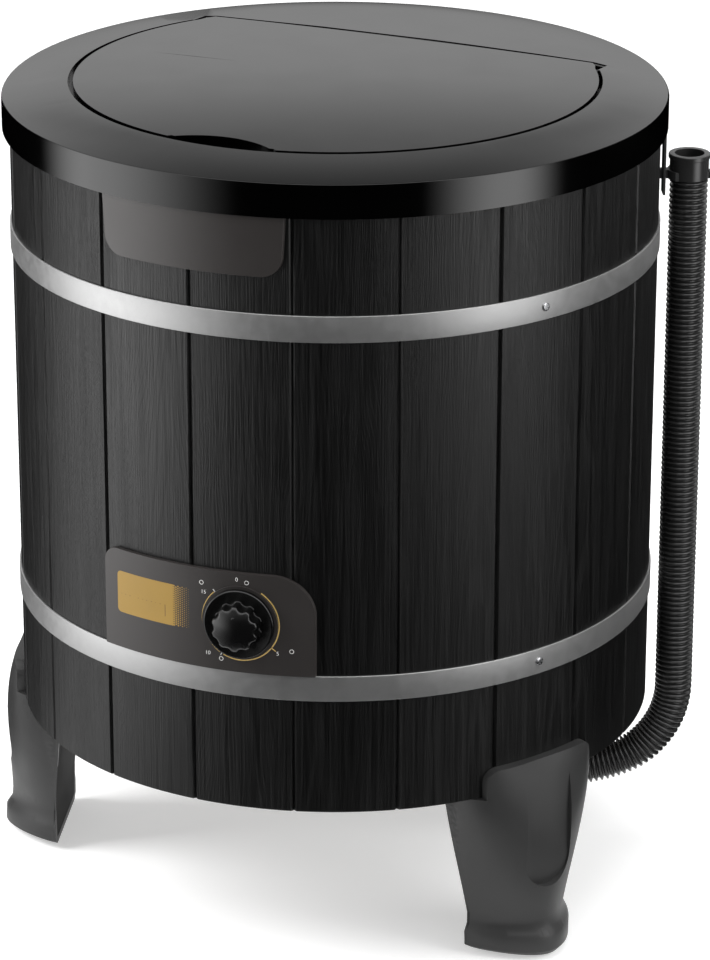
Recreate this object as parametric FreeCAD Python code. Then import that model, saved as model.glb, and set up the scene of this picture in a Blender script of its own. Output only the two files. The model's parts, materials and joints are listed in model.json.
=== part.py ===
import FreeCAD, Part
import math
import os

# Semi-automatic washing machine: a coopered wooden barrel on three moulded legs, with a plastic wash tub
# hung inside it, an agitator driven by belt from a motor on the base board, and a drain hose on its side.
# Millimetres. The origin is on the floor under the barrel's axis, -Y is the front, +X the right, +Z up.
# An angle is counted from the front towards +X; a "reach" is a distance from the barrel's axis.

V = FreeCAD.Vector
CENTRE = V(0, 0, 0)
UP = V(0, 0, 1)

# Barrel of staves, rounded outside and flat inside, with one joint at the front centre
STAVE_COUNT = 20
BARREL_RADIUS = 284.5
BARREL_FIT = 0.2
STAVE_THICKNESS = 24.0
STAVE_BOTTOM = 160.0
STAVE_TOP = 700.0
STAVE_SIDE_GAP = 0.05
STAVE_EDGE_BEVEL = 2.2
TONGUE_WIDTH = 6.0
TONGUE_DEPTH = 6.0
TONGUE_CLEARANCE = 0.2
STAVE_PITCH = 360.0 / STAVE_COUNT
STAVE_INSIDE = BARREL_RADIUS - STAVE_THICKNESS

# Base board, held in a groove round the inside of the staves
BASE_RISE = 12.0
BASE_THICKNESS = 18.0
GROOVE_DEPTH = 5.5
GROOVE_CLEARANCE = 0.2
BASE_BOTTOM = STAVE_BOTTOM + BASE_RISE
BASE_TOP = BASE_BOTTOM + BASE_THICKNESS
BASE_RADIUS = STAVE_INSIDE + GROOVE_DEPTH

# Steel hoops, each closed by one screw
HOOP_WIDTH = 23.0
HOOP_THICKNESS = 1.5
UPPER_HOOP_DROP = 101.5
LOWER_HOOP_RISE = 116.5
UPPER_HOOP_MIDDLE = STAVE_TOP - UPPER_HOOP_DROP
LOWER_HOOP_MIDDLE = STAVE_BOTTOM + LOWER_HOOP_RISE
HOOP_SCREW_ANGLE = 3.5 * STAVE_PITCH
HOOP_SCREW_RADIUS = 1.75
HOOP_SCREW_LENGTH = 16.0
HOOP_SCREW_HEAD_RADIUS = 3.8
HOOP_SCREW_HEAD_HEIGHT = 1.8
HOOP_SCREW_HEAD_ROUND = 1.4
SCREW_CLEARANCE = 0.03

# Top rim and the crown of the lid
RIM_OVERHANG = 6.5
RIM_WALL = 3.2
RIM_LAP = 5.0
RIM_RISE = 25.0
RIM_EDGE_ROUND = 4.0
DECK_THICKNESS = 3.4
CROWN_RISE = 12.0
CROWN_RADIUS = 6600.0
OPENING_INSET = 27.5
SEAM_WALL = 3.2
LEDGE_THICKNESS = 3.2
COLLAR_INSET = 12.7
COLLAR_WALL = 3.0
COLLAR_DROP = 24.0
SEAT_RIB_SETBACK = 2.5
SEAT_RIB_WALL = 4.0
RIM_RADIUS = BARREL_RADIUS + RIM_OVERHANG
RIM_BOTTOM = STAVE_TOP - RIM_LAP
RIM_EDGE_TOP = STAVE_TOP + RIM_RISE
CROWN_TOP = RIM_EDGE_TOP + CROWN_RISE
OPENING_RADIUS = STAVE_INSIDE - OPENING_INSET
COLLAR_RADIUS = OPENING_RADIUS - COLLAR_INSET
SEAT_RIB_RADIUS = STAVE_INSIDE + SEAT_RIB_SETBACK

# Lid, hinged on a steel rod along its straight rear edge
LID_SEAM_GAP = 1.4
LID_THICKNESS = 3.2
LID_SKIRT_DEPTH = 12.0
LID_SKIRT_WALL = 3.2
LID_SEAT_GAP = 0.3
LID_RIB_WALL = 2.4
LID_RIB_DEPTH = 7.0
LID_RIB_SPACING = 90.0
HINGE_SETBACK = 92.0
HINGE_GAP = 1.0
HINGE_SWEEP = 9.5
KNUCKLE_RADIUS = 6.0
KNUCKLE_END_GAP = 3.0
HINGE_ROD_RADIUS = 2.5
HINGE_ROD_FIT = 0.08
HINGE_ROD_SEAT_FIT = 0.02
HINGE_TROUGH_DEPTH = 24.0
NOTCH_INSET = 29.0
NOTCH_DEPTH = 21.0
HINGE_EAR_LENGTH = 8.0
HINGE_WALL = 3.0
HINGE_LINE = OPENING_RADIUS - HINGE_SETBACK
NOTCH_REACH = OPENING_RADIUS - NOTCH_INSET

# Finger notch in the front of the lid, over a closed well in the rim
FINGER_RADIUS = 79.0
FINGER_INSET = 26.0
FINGER_WALL = 2.6
FINGER_WELL_MARGIN = 8.0
FINGER_WELL_HALF_WIDTH = 60.0
FINGER_REACH = OPENING_RADIUS - FINGER_INSET
FINGER_WELL_INSIDE = FINGER_REACH - FINGER_WELL_MARGIN

# Name plate and control panel, curved plates on the staves
PLATE_RISE = 4.0
PLATE_TOP_GAP = 0.3
BADGE_HALF_WIDTH = 84.0
BADGE_TAPER = 3.0
BADGE_HEIGHT = 52.0
BADGE_CORNER = 18.0
PANEL_LEFT_ANGLE = -17.9
PANEL_RIGHT_ANGLE = 21.8
PANEL_RISE = 102.5
PANEL_HOOP_GAP = 0.3
PANEL_LEFT_CORNER = 14.0
PANEL_RIGHT_CORNER = 36.0
PANEL_PAD_RADIUS = 33.5
PANEL_PAD_RISE = 0.8
PLATE_FACE_RADIUS = BARREL_RADIUS + PLATE_RISE
PANEL_TOP = LOWER_HOOP_MIDDLE + PANEL_RISE
PANEL_PAD_REACH = PLATE_FACE_RADIUS + PANEL_PAD_RISE

# Timer and its knob, in the middle of one stave
TIMER_ANGLE = 0.5 * STAVE_PITCH
TIMER_RISE = 57.5
TIMER_SHAFT_RADIUS = 3.0
TIMER_SHAFT_FIT = 0.06
TIMER_SHAFT_HOLE = 5.0
TIMER_SHAFT_DEPTH = 20.0
TIMER_WIDTH = 54.0
TIMER_DEPTH = 30.0
TIMER_CORNER = 6.0
TIMER_GEARBOX_RADIUS = 20.0
TIMER_GEARBOX_DEPTH = 10.0
KNOB_GAP = 0.6
KNOB_RADIUS = 31.0
KNOB_SKIRT_HEIGHT = 4.5
KNOB_SKIRT_ROUND = 1.5
KNOB_DISH_HEIGHT = 2.6
KNOB_GRIP_RADIUS = 20.5
KNOB_GRIP_HEIGHT = 21.0
KNOB_GRIP_ROUND = 5.0
KNOB_SCALLOPS = 10
KNOB_SCALLOP_RADIUS = 5.5
KNOB_SCALLOP_REACH = 23.4
KNOB_SEAT_DEPTH = 13.0
KNOB_DOT_RADIUS = 1.3
KNOB_DOT_REACH = 11.5
KNOB_DOT_DEPTH = 1.0
TIMER_HEIGHT = LOWER_HOOP_MIDDLE + TIMER_RISE

# Wash tub, hung by its flange on the tops of the staves
TUB_FLANGE_MARGIN = 10.0
TUB_COLLAR_GAP = 4.2
TUB_TAPER = 10.5
TUB_WALL = 3.5
TUB_CORNER = 45.0
TUB_BOSS_RADIUS = 30.0
TUB_BOSS_HEIGHT = 8.0
TUB_FLANGE_RADIUS = SEAT_RIB_RADIUS + TUB_FLANGE_MARGIN
TUB_MOUTH_RADIUS = COLLAR_RADIUS + TUB_COLLAR_GAP
TUB_FLOOR_RADIUS = TUB_MOUTH_RADIUS - TUB_TAPER

# Agitator, its shaft and the shaft's seal and bearings
SHAFT_RADIUS = 7.0
SHAFT_RUNNING_FIT = 0.05
SHAFT_SEAT_FIT = 0.02
SHAFT_END = 6.0
SEAL_RADIUS = 17.0
SEAL_HEIGHT = 9.0
SEAL_LIP_FIT = 0.08
SEAL_LIP_HEIGHT = 5.0
SEAL_LIP_WALL = 2.0
SEAL_LIP_TAPER = 1.0
SEAL_RING_WALL = 4.0
HOUSING_RADIUS = 22.0
HOUSING_FLANGE_RADIUS = 58.0
HOUSING_FLANGE_THICKNESS = 6.0
HOUSING_LENGTH = 46.0
HOUSING_RIBS = 6
HOUSING_RIB_WALL = 5.0
HOUSING_RIB_INSET = 4.0
HOUSING_RIB_RISE = 6.0
BUSH_RADIUS = 11.0
BUSH_LENGTH = 15.0
AGITATOR_INSET = 106.0
AGITATOR_FLOOR_GAP = 3.0
AGITATOR_EDGE_HEIGHT = 5.0
AGITATOR_EDGE_ROUND = 2.0
AGITATOR_CONE_HEIGHT = 14.0
AGITATOR_HUB_RADIUS = 26.0
AGITATOR_HUB_HEIGHT = 58.0
AGITATOR_HUB_FILLET = 12.0
AGITATOR_HUB_ROUND = 4.0
AGITATOR_VANES = 4
AGITATOR_VANE_WIDTH = 12.0
AGITATOR_VANE_HEIGHT = 40.0
AGITATOR_VANE_TIP_HEIGHT = 14.0
AGITATOR_VANE_INSET = 7.0
AGITATOR_VANE_ROUND = 8.0
CAP_RADIUS = 19.0
CAP_HEIGHT = 9.0
CAP_CROWN = 4.0
CAP_ROUND = 1.5
AGITATOR_RADIUS = TUB_FLOOR_RADIUS - AGITATOR_INSET
AGITATOR_VANE_REACH = AGITATOR_RADIUS - AGITATOR_VANE_INSET

# Belt drive: a V-belt round two pulleys
PULLEY_GAP = 15.0
PULLEY_WIDTH = 18.0
PULLEY_CLEARANCE = 10.0
PULLEY_DROP = 8.0
PULLEY_HUB_RADIUS = 18.0
PULLEY_WEB = 5.0
PULLEY_RIM = 9.0
PULLEY_HOLES = 6
PULLEY_HOLE_HUB_MARGIN = 20.0
PULLEY_HOLE_RIM_MARGIN = 14.0
PULLEY_NUT_RADIUS = 11.0
PULLEY_NUT_HEIGHT = 8.0
PULLEY_NUT_SIDES = 6
BELT_TOP_WIDTH = 10.0
BELT_HEIGHT = 6.0
BELT_SIDE_ANGLE = 18.0
BELT_CLEARANCE = 0.3
BELT_SINK = 1.0
MOTOR_PULLEY_RADIUS = 27.0
MOTOR_PULLEY_WIDTH = 18.0

# Motor, standing on a bracket on the base board at the back
MOTOR_INSET = 110.5
MOTOR_RADIUS = 60.0
MOTOR_SHIELD_RADIUS = 64.0
MOTOR_SHIELD_HEIGHT = 26.0
MOTOR_SHIELD_ROUND = 8.0
MOTOR_HEIGHT = 100.0
MOTOR_SHAFT_RADIUS = 6.0
MOTOR_SHAFT_RISE = 2.0
MOTOR_SHAFT_DEPTH = 30.0
MOTOR_NOSE_RADIUS = 15.0
MOTOR_NOSE_HEIGHT = 6.0
MOTOR_BOLTS = 4
MOTOR_BOLT_REACH = 56.0
MOTOR_BOLT_RADIUS = 3.0
MOTOR_BOLT_HEAD_RADIUS = 5.5
MOTOR_BOLT_HEAD_HEIGHT = 4.0
MOTOR_VENTS = 12
MOTOR_VENT_WIDTH = 8.0
MOTOR_VENT_HEIGHT = 12.0
MOTOR_VENT_DEPTH = 4.0
BRACKET_HALF_WIDTH = 72.0
BRACKET_THICKNESS = 3.0
BRACKET_HEIGHT = 14.0
BRACKET_FOOT = 18.0
CAPACITOR_ANGLE = -100.0
CAPACITOR_INSET = 95.5
CAPACITOR_RADIUS = 20.0
CAPACITOR_HEIGHT = 78.0
CAPACITOR_ROUND = 3.0
CAPACITOR_TAB_SPREAD = 7.0
CAPACITOR_TAB_WIDTH = 6.4
CAPACITOR_TAB_WALL = 0.8
CAPACITOR_TAB_HEIGHT = 9.0
CLIP_WALL = 2.0
CLIP_HEIGHT = 22.0
CLIP_GAP = 0.2
CLIP_FOOT_WIDTH = 26.0
CLIP_FOOT_LENGTH = 20.0
MOTOR_REACH = STAVE_INSIDE - MOTOR_INSET
PULLEY_RADIUS = MOTOR_REACH - MOTOR_PULLEY_RADIUS - PULLEY_GAP
PULLEY_RIM_INSIDE = PULLEY_RADIUS - BELT_SINK - BELT_HEIGHT - PULLEY_RIM
PULLEY_HOLE_START = PULLEY_HUB_RADIUS + PULLEY_HOLE_HUB_MARGIN
PULLEY_HOLE_END = PULLEY_RIM_INSIDE - PULLEY_HOLE_RIM_MARGIN
PULLEY_HOLE_RADIUS = (PULLEY_HOLE_END - PULLEY_HOLE_START) / 2
PULLEY_HOLE_REACH = (PULLEY_HOLE_END + PULLEY_HOLE_START) / 2
CAPACITOR_REACH = STAVE_INSIDE - CAPACITOR_INSET

# Moulded legs: height, inner edge, half width there, half width and edge of the shoulders, outer edge,
# with each edge counted outwards from the barrel's face
LEG_ANGLES = {"left": -71.0, "right": 63.5, "rear": 176.0}
LEG_TOP_RISE = 30.0
LEG_NECK_DROP = 10.0
LEG_SHANK_SHAPE = [
    (STAVE_BOTTOM + LEG_TOP_RISE, -42.5, 75.0, 57.5, 0.5, 6.5),
    (STAVE_BOTTOM - LEG_NECK_DROP, -40.5, 71.5, 58.4, 0.7, 18.1),
    (97.0, -35.5, 63.4, 53.1, -5.2, 20.9),
    (36.0, -30.5, 52.3, 37.8, -6.9, 18.7),
]
LEG_COLLAR_SHAPE = [
    (38.0, -30.8, 52.7, 38.2, -6.9, 18.8),
    (29.0, -30.5, 53.0, 38.4, -6.3, 19.5),
    (21.0, -30.5, 56.0, 40.8, -1.8, 25.0),
    (8.0, -30.5, 55.5, 40.4, -1.7, 25.7),
    (3.0, -30.5, 48.0, 35.0, -6.0, 21.8),
]
LEG_PLATE_HALF_WIDTH = 58.3
LEG_PLATE_RISE = 27.0
LEG_PLATE_CORNER = 12.0
LEG_SIDE_WALL = 4.5
LEG_FRONT_WALL = 12.0
LEG_SHELF = 8.0
LEG_SOLE = 6.0
LEG_POCKET_STANDOFF = 13.1
LEG_POCKET_HALF_WIDTH = 25.0
LEG_POCKET_ROUND = 24.9
LEG_POCKET_RISE = 20.0
LEG_POCKET_BOTTOM = 68.0
LEG_BOSS_INSET = 9.5
LEG_BOSS_SPREAD = 28.0
LEG_BOSS_RADIUS = 7.0
LEG_SCREW_RADIUS = 2.0
LEG_SCREW_GRIP = 12.0
LEG_SCREW_HEAD_RADIUS = 4.3
LEG_SCREW_HEAD_HEIGHT = 2.6
PAD_INSET = 3.5
PAD_RADIUS = 15.0
PAD_STEM_RADIUS = 8.0
PAD_FIT = 0.05
LEG_PLATE_TOP = STAVE_BOTTOM + LEG_PLATE_RISE
LEG_POCKET_REACH = BARREL_RADIUS + LEG_POCKET_STANDOFF
LEG_POCKET_TOP = STAVE_BOTTOM + LEG_POCKET_RISE
LEG_BOSS_REACH = STAVE_INSIDE - LEG_BOSS_INSET
PAD_REACH = BARREL_RADIUS - PAD_INSET

# Drain: a pipe from the tub's spout through the base board to an elbow, and a ribbed hose up the side
HOSE_ANGLE = 6.5 * STAVE_PITCH
HOSE_RADIUS = 17.0
HOSE_VALLEY_RADIUS = 15.2
HOSE_BORE_RADIUS = 13.0
HOSE_RIBS = 112
HOSE_PLAIN_END = 3.0
HOSE_RIB_PROFILE = [
    (0.1, HOSE_VALLEY_RADIUS),
    (0.35, HOSE_RADIUS),
    (0.65, HOSE_RADIUS),
    (0.9, HOSE_VALLEY_RADIUS),
]
HOSE_ROUTE = [(312.0, 639.0), (312.0, 118.0), (262.0, 68.0), (194.0, 68.0)]
HOSE_ARC_SHARE = 0.45
DRAIN_PULLEY_GAP = 20.0
DRAIN_RADIUS = 12.9
DRAIN_WALL = 2.6
DRAIN_BEND = 36.0
DRAIN_SPIGOT = 30.0
DRAIN_STOP_RADIUS = 17.0
DRAIN_STOP_WIDTH = 4.0
DRAIN_HOLE_CLEARANCE = 0.3
SPOUT_RADIUS = 16.0
SPOUT_LENGTH = 22.0
SPOUT_FIT = 0.05
SPOUT_SOCKET = 18.0
DRAIN_REACH = PULLEY_RADIUS + DRAIN_PULLEY_GAP
CLAMP_WIDTH = 11.0
CLAMP_WALL = 1.4
CLAMP_FIT = 0.1
CLAMP_SLIT = 1.4
CLAMP_LUG_LENGTH = 9.0
CLAMP_LUG_WIDTH = 8.0
CUFF_RADIUS = 18.5
CUFF_HEIGHT = 27.0
CUFF_LIP = 1.2
CUFF_LIP_HEIGHT = 4.0
CUFF_ROUND = 1.0
CUFF_TAB_WIDTH = 10.0
CUFF_TAB_REACH = 20.6
CUFF_TAB_WALL = 1.8
CUFF_TAB_ROOT = 6.0
HOOK_WIDTH = 16.0
HOOK_THICKNESS = 2.2
HOOK_STANDOFF = 4.0
HOOK_TAIL = 14.3
HOOK_ARM_WIDTH = 8.0
HOOK_SADDLE_HEIGHT = 8.0
HOOK_SADDLE_WIDTH = 28.0
HOOK_SADDLE_WALL = 2.0
HOOK_SADDLE_FIT = 0.1

# Gland for the mains lead, low in one of the rear staves
GLAND_ANGLE = 8.5 * STAVE_PITCH
GLAND_RISE = 32.0
GLAND_STEM_RADIUS = 9.0
GLAND_FLANGE_RADIUS = 14.0
GLAND_FLANGE_HEIGHT = 7.0
GLAND_FLANGE_ROUND = 2.0
GLAND_NUT_RADIUS = 14.0
GLAND_NUT_HEIGHT = 6.0
GLAND_BORE_RADIUS = 4.0
GLAND_FIT = 0.1
GLAND_HEIGHT = BASE_TOP + GLAND_RISE

# How far a cutting tool runs past the face it leaves, and past a whole wall
OVERRUN = 1.0
THROUGH = 40.0

# Points closer than this are one point
SAME_POINT = 1e-6


# Helpers


def turned(shape, angle):
    """The shape, made at the front, turned about the barrel's axis to an angle."""
    return shape.rotated(CENTRE, UP, angle)


def facing_out(shape, angle, reach, height):
    """A shape made along +Z from the origin, laid along the outward direction at an angle."""
    laid = shape.rotated(CENTRE, V(1, 0, 0), 90)
    return turned(laid.translated(V(0, -reach, height)), angle)


def cylinder(radius, low, high, x=0.0, y=0.0):
    return Part.makeCylinder(radius, high - low, V(x, y, low))


def through_hole(radius, low, high, x=0.0, y=0.0):
    """A tool that runs past both ends of the hole it cuts."""
    return cylinder(radius, low - OVERRUN, high + OVERRUN, x, y)


def ring(outer, inner, low, high):
    return cylinder(outer, low, high).cut(through_hole(inner, low, high))


def block(x0, x1, y0, y1, z0, z1):
    return Part.makeBox(x1 - x0, y1 - y0, z1 - z0, V(x0, y0, z0))


def outline(points, radii, place):
    """A closed wire through the points, each corner rounded by its own radius."""
    edges = []
    starts = []
    ends = []
    for i, radius in enumerate(radii):
        corner = V(*points[i], 0)
        before = (V(*points[i - 1], 0) - corner).normalize()
        after = (V(*points[(i + 1) % len(points)], 0) - corner).normalize()
        half = before.getAngle(after) / 2
        run = radius / math.tan(half)
        middle = corner
        if radius > 0:
            bisector = (before + after).normalize()
            middle = corner + bisector * (radius / math.sin(half) - radius)
        starts.append(corner + before * run)
        ends.append(corner + after * run)
        if radius > 0:
            arc = [place(p.x, p.y) for p in (starts[i], middle, ends[i])]
            edges.append(Part.Arc(*arc).toShape())
    for i, end in enumerate(ends):
        start = starts[(i + 1) % len(starts)]
        if end.distanceToPoint(start) > SAME_POINT:
            edges.append(Part.LineSegment(place(end.x, end.y), place(start.x, start.y)).toShape())
    return Part.Wire(Part.__sortEdges__(edges))


def in_profile(radius, height):
    return V(radius, 0, height)


def revolved(points, rounds=None):
    """A solid turned about the Z axis from (radius, height) points, with {index: radius} rounds."""
    radii = [0.0] * len(points)
    for index, radius in (rounds or {}).items():
        radii[index] = radius
    return Part.Face(outline(points, radii, in_profile)).revolve(CENTRE, UP, 360)


def crown_height(radius):
    """Height of the crowned top at a distance from the axis."""
    return CROWN_TOP - CROWN_RADIUS + math.sqrt(CROWN_RADIUS**2 - radius**2)


def line(start, end):
    return Part.LineSegment(in_profile(*start), in_profile(*end)).toShape()


def arc(start, middle, end):
    return Part.Arc(in_profile(*start), in_profile(*middle), in_profile(*end)).toShape()


def crown_arc(radius, drop):
    """The crowned top from the axis out to a radius, lowered by drop."""
    places = [(r, crown_height(r) - drop) for r in (0.0, radius / 2, radius)]
    return arc(*places), places[0], places[-1]


def crowned_solid(radius, low, drop):
    """Everything under the crowned top, lowered by drop, down to a height."""
    crown, top, edge = crown_arc(radius, drop)
    edges = [crown, line(edge, (radius, low)), line((radius, low), (0, low)), line((0, low), top)]
    return Part.Face(Part.Wire(edges)).revolve(CENTRE, UP, 360)


def barrel_space(low, high):
    """The barrel's round outside with its clearance, for cutting the seats of what lies against it."""
    return cylinder(BARREL_RADIUS + BARREL_FIT, low, high)


# Barrel

HOOP_FACE = BARREL_RADIUS + BARREL_FIT + HOOP_THICKNESS


def stave_side(along, out, hand):
    """A point on a stave's side: along the joint from the axis, out past the joint, hand +1 or -1."""
    half = math.radians(STAVE_PITCH / 2)
    out = out - STAVE_SIDE_GAP
    across = along * math.sin(half) + out * math.cos(half)
    return (hand * across, along * math.cos(half) - out * math.sin(half))


def plain_stave():
    """A plank with a rounded, bevelled face, a tongue on its right side and a groove on its left."""
    half = math.radians(STAVE_PITCH / 2)
    inner = (STAVE_INSIDE - STAVE_SIDE_GAP * math.sin(half)) / math.cos(half)
    middle = (BARREL_RADIUS + inner) / 2
    tongue = TONGUE_WIDTH / 2
    groove = tongue + TONGUE_CLEARANCE
    depth = TONGUE_DEPTH + TONGUE_CLEARANCE
    bevel = BARREL_RADIUS - STAVE_EDGE_BEVEL
    turn = half - STAVE_EDGE_BEVEL / BARREL_RADIUS
    face_edge = BARREL_RADIUS * math.sin(turn)
    face_reach = BARREL_RADIUS * math.cos(turn)
    points = [
        (face_edge, face_reach),
        stave_side(bevel, 0, 1),
        stave_side(middle + tongue, 0, 1),
        stave_side(middle + tongue, TONGUE_DEPTH, 1),
        stave_side(middle - tongue, TONGUE_DEPTH, 1),
        stave_side(middle - tongue, 0, 1),
        stave_side(inner, 0, 1),
        stave_side(inner, 0, -1),
        stave_side(middle - groove, 0, -1),
        stave_side(middle - groove, -depth, -1),
        stave_side(middle + groove, -depth, -1),
        stave_side(middle + groove, 0, -1),
        stave_side(bevel, 0, -1),
        (-face_edge, face_reach),
    ]
    corners = [V(across, -reach, STAVE_BOTTOM) for across, reach in points]
    face = Part.Arc(corners[-1], V(0, -BARREL_RADIUS, STAVE_BOTTOM), corners[0]).toShape()
    section = Part.Wire([face, *Part.makePolygon(corners).Edges])
    plank = Part.Face(section).extrude(V(0, 0, STAVE_TOP - STAVE_BOTTOM))
    groove_tool = cylinder(
        BASE_RADIUS + GROOVE_CLEARANCE, BASE_BOTTOM - GROOVE_CLEARANCE, BASE_TOP + GROOVE_CLEARANCE
    )
    return plank.cut(groove_tool)


def radial_hole(radius, angle, height):
    drill = Part.makeCylinder(radius, STAVE_THICKNESS + 2 * THROUGH)
    return facing_out(drill, angle, STAVE_INSIDE - THROUGH, height)


def hoop_screw_hole(height):
    depth = HOOP_SCREW_LENGTH + SCREW_CLEARANCE + THROUGH
    drill = Part.makeCylinder(HOOP_SCREW_RADIUS + SCREW_CLEARANCE, depth)
    bottom = HOOP_FACE - HOOP_SCREW_LENGTH - SCREW_CLEARANCE
    return facing_out(drill, HOOP_SCREW_ANGLE, bottom, height)


def staves():
    drills = {
        TIMER_ANGLE: [radial_hole(TIMER_SHAFT_HOLE, TIMER_ANGLE, TIMER_HEIGHT)],
        GLAND_ANGLE: [radial_hole(GLAND_STEM_RADIUS + GLAND_FIT, GLAND_ANGLE, GLAND_HEIGHT)],
        HOOP_SCREW_ANGLE: [hoop_screw_hole(UPPER_HOOP_MIDDLE), hoop_screw_hole(LOWER_HOOP_MIDDLE)],
    }
    prototype = plain_stave()
    made = {}
    for i in range(STAVE_COUNT):
        angle = (i + 0.5) * STAVE_PITCH
        stave = turned(prototype, angle)
        for drill in drills.get(angle, []):
            stave = stave.cut(drill)
        made[f"stave_{i + 1:02d}"] = stave
    return made


def hoop(middle):
    """A flat strap round the staves."""
    inner = BARREL_RADIUS + BARREL_FIT
    band = ring(HOOP_FACE, inner, middle - HOOP_WIDTH / 2, middle + HOOP_WIDTH / 2)
    return band.cut(hoop_screw_hole(middle))


def hoop_screws():
    """Two pan-head screws, one through the lap of each hoop."""
    head = HOOP_SCREW_HEAD_HEIGHT
    screw = revolved(
        [
            (0, -HOOP_SCREW_LENGTH),
            (HOOP_SCREW_RADIUS, -HOOP_SCREW_LENGTH + 2 * HOOP_SCREW_RADIUS),
            (HOOP_SCREW_RADIUS, 0),
            (HOOP_SCREW_HEAD_RADIUS, 0),
            (HOOP_SCREW_HEAD_RADIUS, head),
            (0, head),
        ],
        {4: HOOP_SCREW_HEAD_ROUND},
    )
    heights = (UPPER_HOOP_MIDDLE, LOWER_HOOP_MIDDLE)
    return Part.makeCompound([facing_out(screw, HOOP_SCREW_ANGLE, HOOP_FACE, z) for z in heights])


def base_board():
    """Round board with a hole for the drain pipe and pilot holes for the leg screws."""
    board = cylinder(BASE_RADIUS, BASE_BOTTOM, BASE_TOP)
    pipe = through_hole(DRAIN_RADIUS + DRAIN_HOLE_CLEARANCE, BASE_BOTTOM, BASE_TOP, 0, -DRAIN_REACH)
    board = board.cut(turned(pipe, HOSE_ANGLE))
    for angle in LEG_ANGLES.values():
        for x, y in leg_screw_spots():
            pilot_top = BASE_BOTTOM + LEG_SCREW_GRIP + SCREW_CLEARANCE
            pilot = cylinder(LEG_SCREW_RADIUS + SCREW_CLEARANCE, BASE_BOTTOM - OVERRUN, pilot_top, x, y)
            board = board.cut(turned(pilot, angle))
    return board


# Top rim and lid

LID_RADIUS = OPENING_RADIUS - LID_SEAM_GAP
LEDGE_TOP = crown_height(LID_RADIUS) - LID_SKIRT_DEPTH - LID_SEAT_GAP
HINGE_Y = HINGE_LINE - HINGE_GAP - HINGE_SWEEP
HINGE_Z = crown_height(LID_RADIUS) - KNUCKLE_RADIUS
TUB_FLANGE_TOP = STAVE_TOP + TUB_WALL


def hinge_cylinder(radius, half_length):
    return Part.makeCylinder(radius, 2 * half_length, V(-half_length, HINGE_Y, HINGE_Z), V(1, 0, 0))


def under_deck(low, drop, inset):
    """Everything under the rim's top: the crown, a slope round it and a rounded edge above the skirt,
    lowered by drop and drawn in by inset."""
    crown, top, seam = crown_arc(OPENING_RADIUS, drop)
    outside = RIM_RADIUS - inset
    rounding = RIM_EDGE_ROUND
    edge = (outside - rounding, RIM_EDGE_TOP - drop)
    shoulder = (outside, RIM_EDGE_TOP - drop - rounding)
    cut = rounding * (1 - math.sqrt(0.5))
    bend = (outside - cut, RIM_EDGE_TOP - drop - cut)
    edges = [
        crown,
        line(seam, edge),
        arc(edge, bend, shoulder),
        line(shoulder, (outside, low)),
        line((outside, low), (0, low)),
        line((0, low), top),
    ]
    return Part.Face(Part.Wire(edges)).revolve(CENTRE, UP, 360)


def top_rim():
    """Moulded ring with a deep skirt, the lid's ledge, a splash collar and the fixed deck behind the lid."""
    deck_edge = crown_height(OPENING_RADIUS)
    solid = under_deck(RIM_BOTTOM, 0, 0)
    hollow = under_deck(RIM_BOTTOM - OVERRUN, DECK_THICKNESS, RIM_WALL)
    seam_outside = OPENING_RADIUS + SEAM_WALL
    ledge_bottom = LEDGE_TOP - LEDGE_THICKNESS
    collar_inside = COLLAR_RADIUS - COLLAR_WALL
    well = ring(COLLAR_RADIUS, FINGER_WELL_INSIDE, ledge_bottom, LEDGE_TOP)
    well = well.common(
        block(-FINGER_WELL_HALF_WIDTH, FINGER_WELL_HALF_WIDTH, -RIM_RADIUS, 0, ledge_bottom, LEDGE_TOP)
    )
    ear_end = NOTCH_REACH + HINGE_EAR_LENGTH
    walls = [
        ring(seam_outside, OPENING_RADIUS, ledge_bottom, deck_edge),
        ring(SEAT_RIB_RADIUS, SEAT_RIB_RADIUS - SEAT_RIB_WALL, TUB_FLANGE_TOP, deck_edge),
        block(-ear_end, ear_end, HINGE_LINE, HINGE_LINE + HINGE_WALL, ledge_bottom, deck_edge),
    ]
    for side in (-1, 1):
        ends = sorted((side * NOTCH_REACH, side * ear_end))
        walls.append(block(*ends, HINGE_Y - HINGE_SWEEP, HINGE_LINE, ledge_bottom, deck_edge))
    rim = solid.cut(hollow)
    for wall in walls:
        rim = rim.fuse(wall.common(solid))
    rim = rim.fuse(ring(seam_outside, collar_inside, ledge_bottom, LEDGE_TOP))
    rim = rim.fuse(ring(COLLAR_RADIUS, collar_inside, ledge_bottom - COLLAR_DROP, LEDGE_TOP))
    rim = rim.fuse(well)
    top = CROWN_TOP + OVERRUN
    ahead = block(-RIM_RADIUS, RIM_RADIUS, -RIM_RADIUS, HINGE_LINE, RIM_BOTTOM, top)
    opening = cylinder(OPENING_RADIUS, LEDGE_TOP, top).common(ahead)
    trough_front = HINGE_LINE - HINGE_TROUGH_DEPTH
    trough = block(-NOTCH_REACH, NOTCH_REACH, trough_front, HINGE_LINE, ledge_bottom, LEDGE_TOP + OVERRUN)
    notch = block(-NOTCH_REACH, NOTCH_REACH, HINGE_LINE - NOTCH_DEPTH, HINGE_LINE, ledge_bottom, top)
    rod = hinge_cylinder(HINGE_ROD_RADIUS + HINGE_ROD_SEAT_FIT, ear_end + OVERRUN)
    for tool in (opening, trough, notch, rod):
        rim = rim.cut(tool)
    return rim


def finger_cut(radius):
    return cylinder(radius, RIM_BOTTOM, CROWN_TOP + OVERRUN, 0, -FINGER_REACH - FINGER_RADIUS)


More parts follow.
